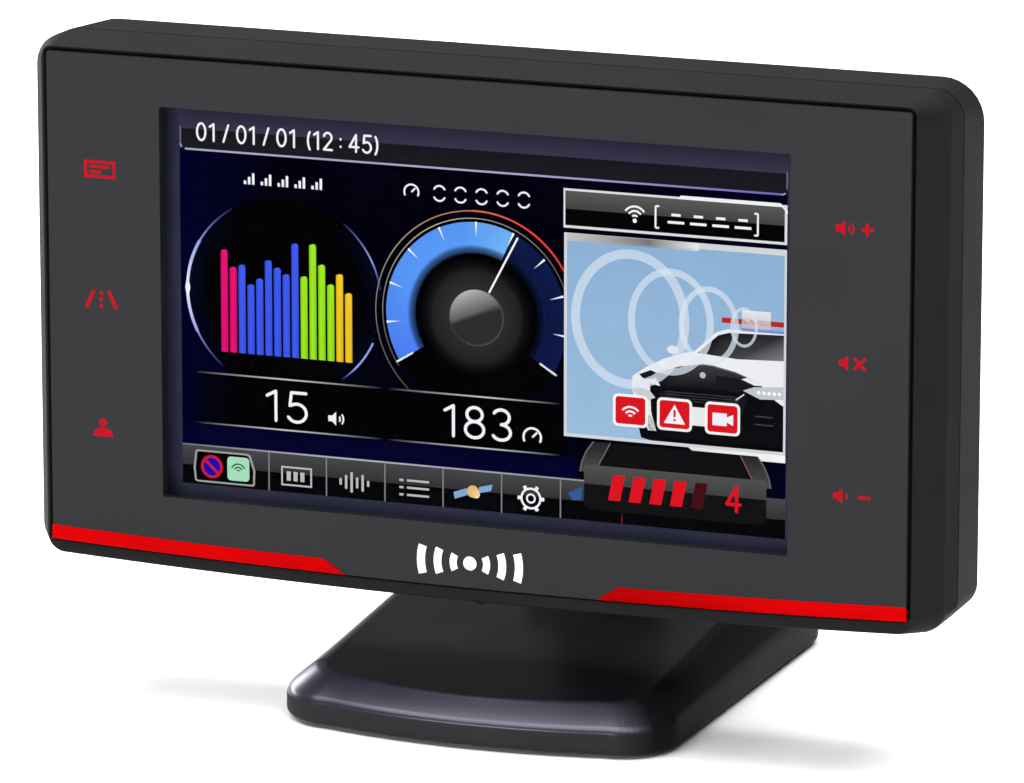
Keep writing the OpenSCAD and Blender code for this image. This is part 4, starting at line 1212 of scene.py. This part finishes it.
# Columns of the base's outline: its front edge, then its corners from the right front round to the left.
# The back edge starts at RIGHT_END. RIGHT_BACK and LEFT_END lie two steps into their corners
FRONT_STEPS = 20
CORNER_ARC = 12
CORNER_POINTS = CORNER_ARC + 1
CORNER_START = FRONT_STEPS + 1
RIGHT_BACK = CORNER_START + CORNER_POINTS + 2
RIGHT_END = CORNER_START + 2 * CORNER_POINTS - 1
LEFT_END = CORNER_START + 3 * CORNER_POINTS + 2


def base_outline(front, side):
    """The base seen from above, in mm, drawn in at the front and at the sides and back."""
    half = BASE_HALF_W - side
    r = 8 - side * 0.5
    x = half - r
    y0 = front - BASE_HALF_D
    y1 = BASE_HALF_D - side
    rise = BASE_BOW * x / half
    places = [2 * i / FRONT_STEPS - 1 for i in range(FRONT_STEPS + 1)]
    return ([(x * place, y0 + rise * place ** 2) for place in places]
            + arc(x, y0 + rise + r, r, -80, 0, CORNER_ARC) + arc(x, y1 - r, r, 0, 90, CORNER_ARC)
            + arc(-x, y1 - r, r, 90, 180, CORNER_ARC) + arc(-x, y0 + rise + r, r, 180, 260, CORNER_ARC))


def base_height(y, share):
    """Height on the sloping side at a distance from front to back, from the skirt's top to the roof."""
    roof = FRONT_TOP + (BACK_TOP - FRONT_TOP) * (y + BASE_HALF_D) / (2 * BASE_HALF_D)
    return SKIRT_Z + SKIRT_H + (roof - SKIRT_H) * share


def base_ring(front, side, share):
    return [Vector((x, y, base_height(y, share))) * MM for x, y in base_outline(front, side)]


def base_finish(skirt, column):
    """The slot of a face's finish, which gets duller and darker by steps round the right front corner:
    painted shade on the right side, while the front keeps the lighter bluish copies, painted highlight.
    """
    step = max(0, min(column - CORNER_START, CORNER_STEPS - 1, RIGHT_END - column))
    if skirt:
        return 1 + CORNER_STEPS + step
    if RIGHT_END <= column < LEFT_END:
        return 0
    if RIGHT_BACK <= column < RIGHT_END:
        return 1 + max(step, CORNER_STEPS - 2)
    return 1 + step


def build_base():
    """Base: a short skirt, a rounded shoulder and a flat roof that rises to the back."""
    flat = [(0.7, 0), (0.3, 0.12), (0.08, 0.45), (0, 1.0), (0, SKIRT_H - 0.3)]
    rings = [[Vector((x, y, SKIRT_Z + z)) * MM for x, y in base_outline(inset, inset)] for inset, z in flat]
    shoulder = [(0.01, 0.01, 0.1), (0.05, 0.04, 0.22), (0.11, 0.08, 0.32), (0.17, 0.13, 0.4),
                (0.5, 0.38, 0.68), (0.83, 0.62, 0.9), (0.89, 0.74, 0.945), (0.95, 0.88, 0.985),
                (1.0, 1.0, 1.0)]
    for front, side, share in shoulder:
        rings.append(base_ring(FRONT_INSET * front, SIDE_INSET * side, share))
    shell = lofted("base_housing", rings, BASE, "stand", degrees=50)
    for finish in SHOULDERS_LIT_TO_SHADED + SKIRTS_LIT_TO_SHADED:
        shell.data.materials.append(finish)
    # lighter copies on the front, painted highlight; darker copies round the right side, painted shade
    for face in shell.data.polygons:
        strip, column = divmod(face.index, len(rings[0]))
        if strip < len(rings) - 1:
            face.material_index = base_finish(strip < len(flat), column)
    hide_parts("base_shell")


# ---------------------------------------------------------------- floor and light

def build_stage():
    """Plain pale floor."""
    bpy.ops.mesh.primitive_plane_add(size=12, location=(0, 0, 0))
    floor = bpy.context.object
    floor.name = "floor"
    material, tree, shader, vector = blank("floor_paint", (0.93, 0.93, 0.93, 1), 0.6,
                                           Specular_IOR_Level=0.1)
    uneven_gloss(tree, shader, noise(tree, vector, 400), 0.58, 0.66)
    floor.data.materials.append(material)


def area_light(name, place, aim, width, height, watts, colour=(1, 1, 1)):
    data = bpy.data.lights.new(name, "AREA")
    data.shape = "RECTANGLE"
    data.size = width
    data.size_y = height
    data.energy = watts
    data.color = colour
    light = bpy.data.objects.new(name, data)
    bpy.context.scene.collection.objects.link(light)
    light.location = place
    light.rotation_mode = "QUATERNION"
    light.rotation_quaternion = (Vector(aim) - Vector(place)).to_track_quat("-Z", "Y")


def build_light():
    """Soft studio light: a wide overhead panel, a rim light at the back left and a low fill."""
    world = bpy.data.worlds.new("studio")
    bpy.context.scene.world = world
    world.use_nodes = True
    world.node_tree.nodes["Background"].inputs["Color"].default_value = (1, 1, 1, 1)
    world.node_tree.nodes["Background"].inputs["Strength"].default_value = 0.14
    area_light("overhead", (0.0, 0.0, 1.5), (0, 0.0, 0), 2.2, 2.2, 84, (0.98, 0.98, 1.0))
    area_light("rim", (-1.2, 0.66, 0.56), (0, 0, 0.03), 0.8, 0.5, 17, (0.95, 0.95, 1.0))
    area_light("front_fill", (-0.35, -1.3, 0.3), (0, 0, 0.03), 0.7, 0.5, 7)
    bpy.context.scene.view_settings.view_transform = "Standard"


make_camera()
finish_cad_nodes()
build_front_case()
build_case_nubs()
build_front_panel()
build_accent_strip(-1, "accent_bar_left", "accent_strip_left")
build_accent_strip(1, "accent_bar_right", "accent_strip_right")
build_screen()
build_prints()
build_base()
ease_edges("neck_arm", 0.5)
ease_edges("rear_cover", 0.15)
ease_edges("tilt_bracket", 0.25)
ease_edges("tilt_knob", 0.35)
ease_edges("adhesive_pad", 0.15)
build_stage()
build_light()
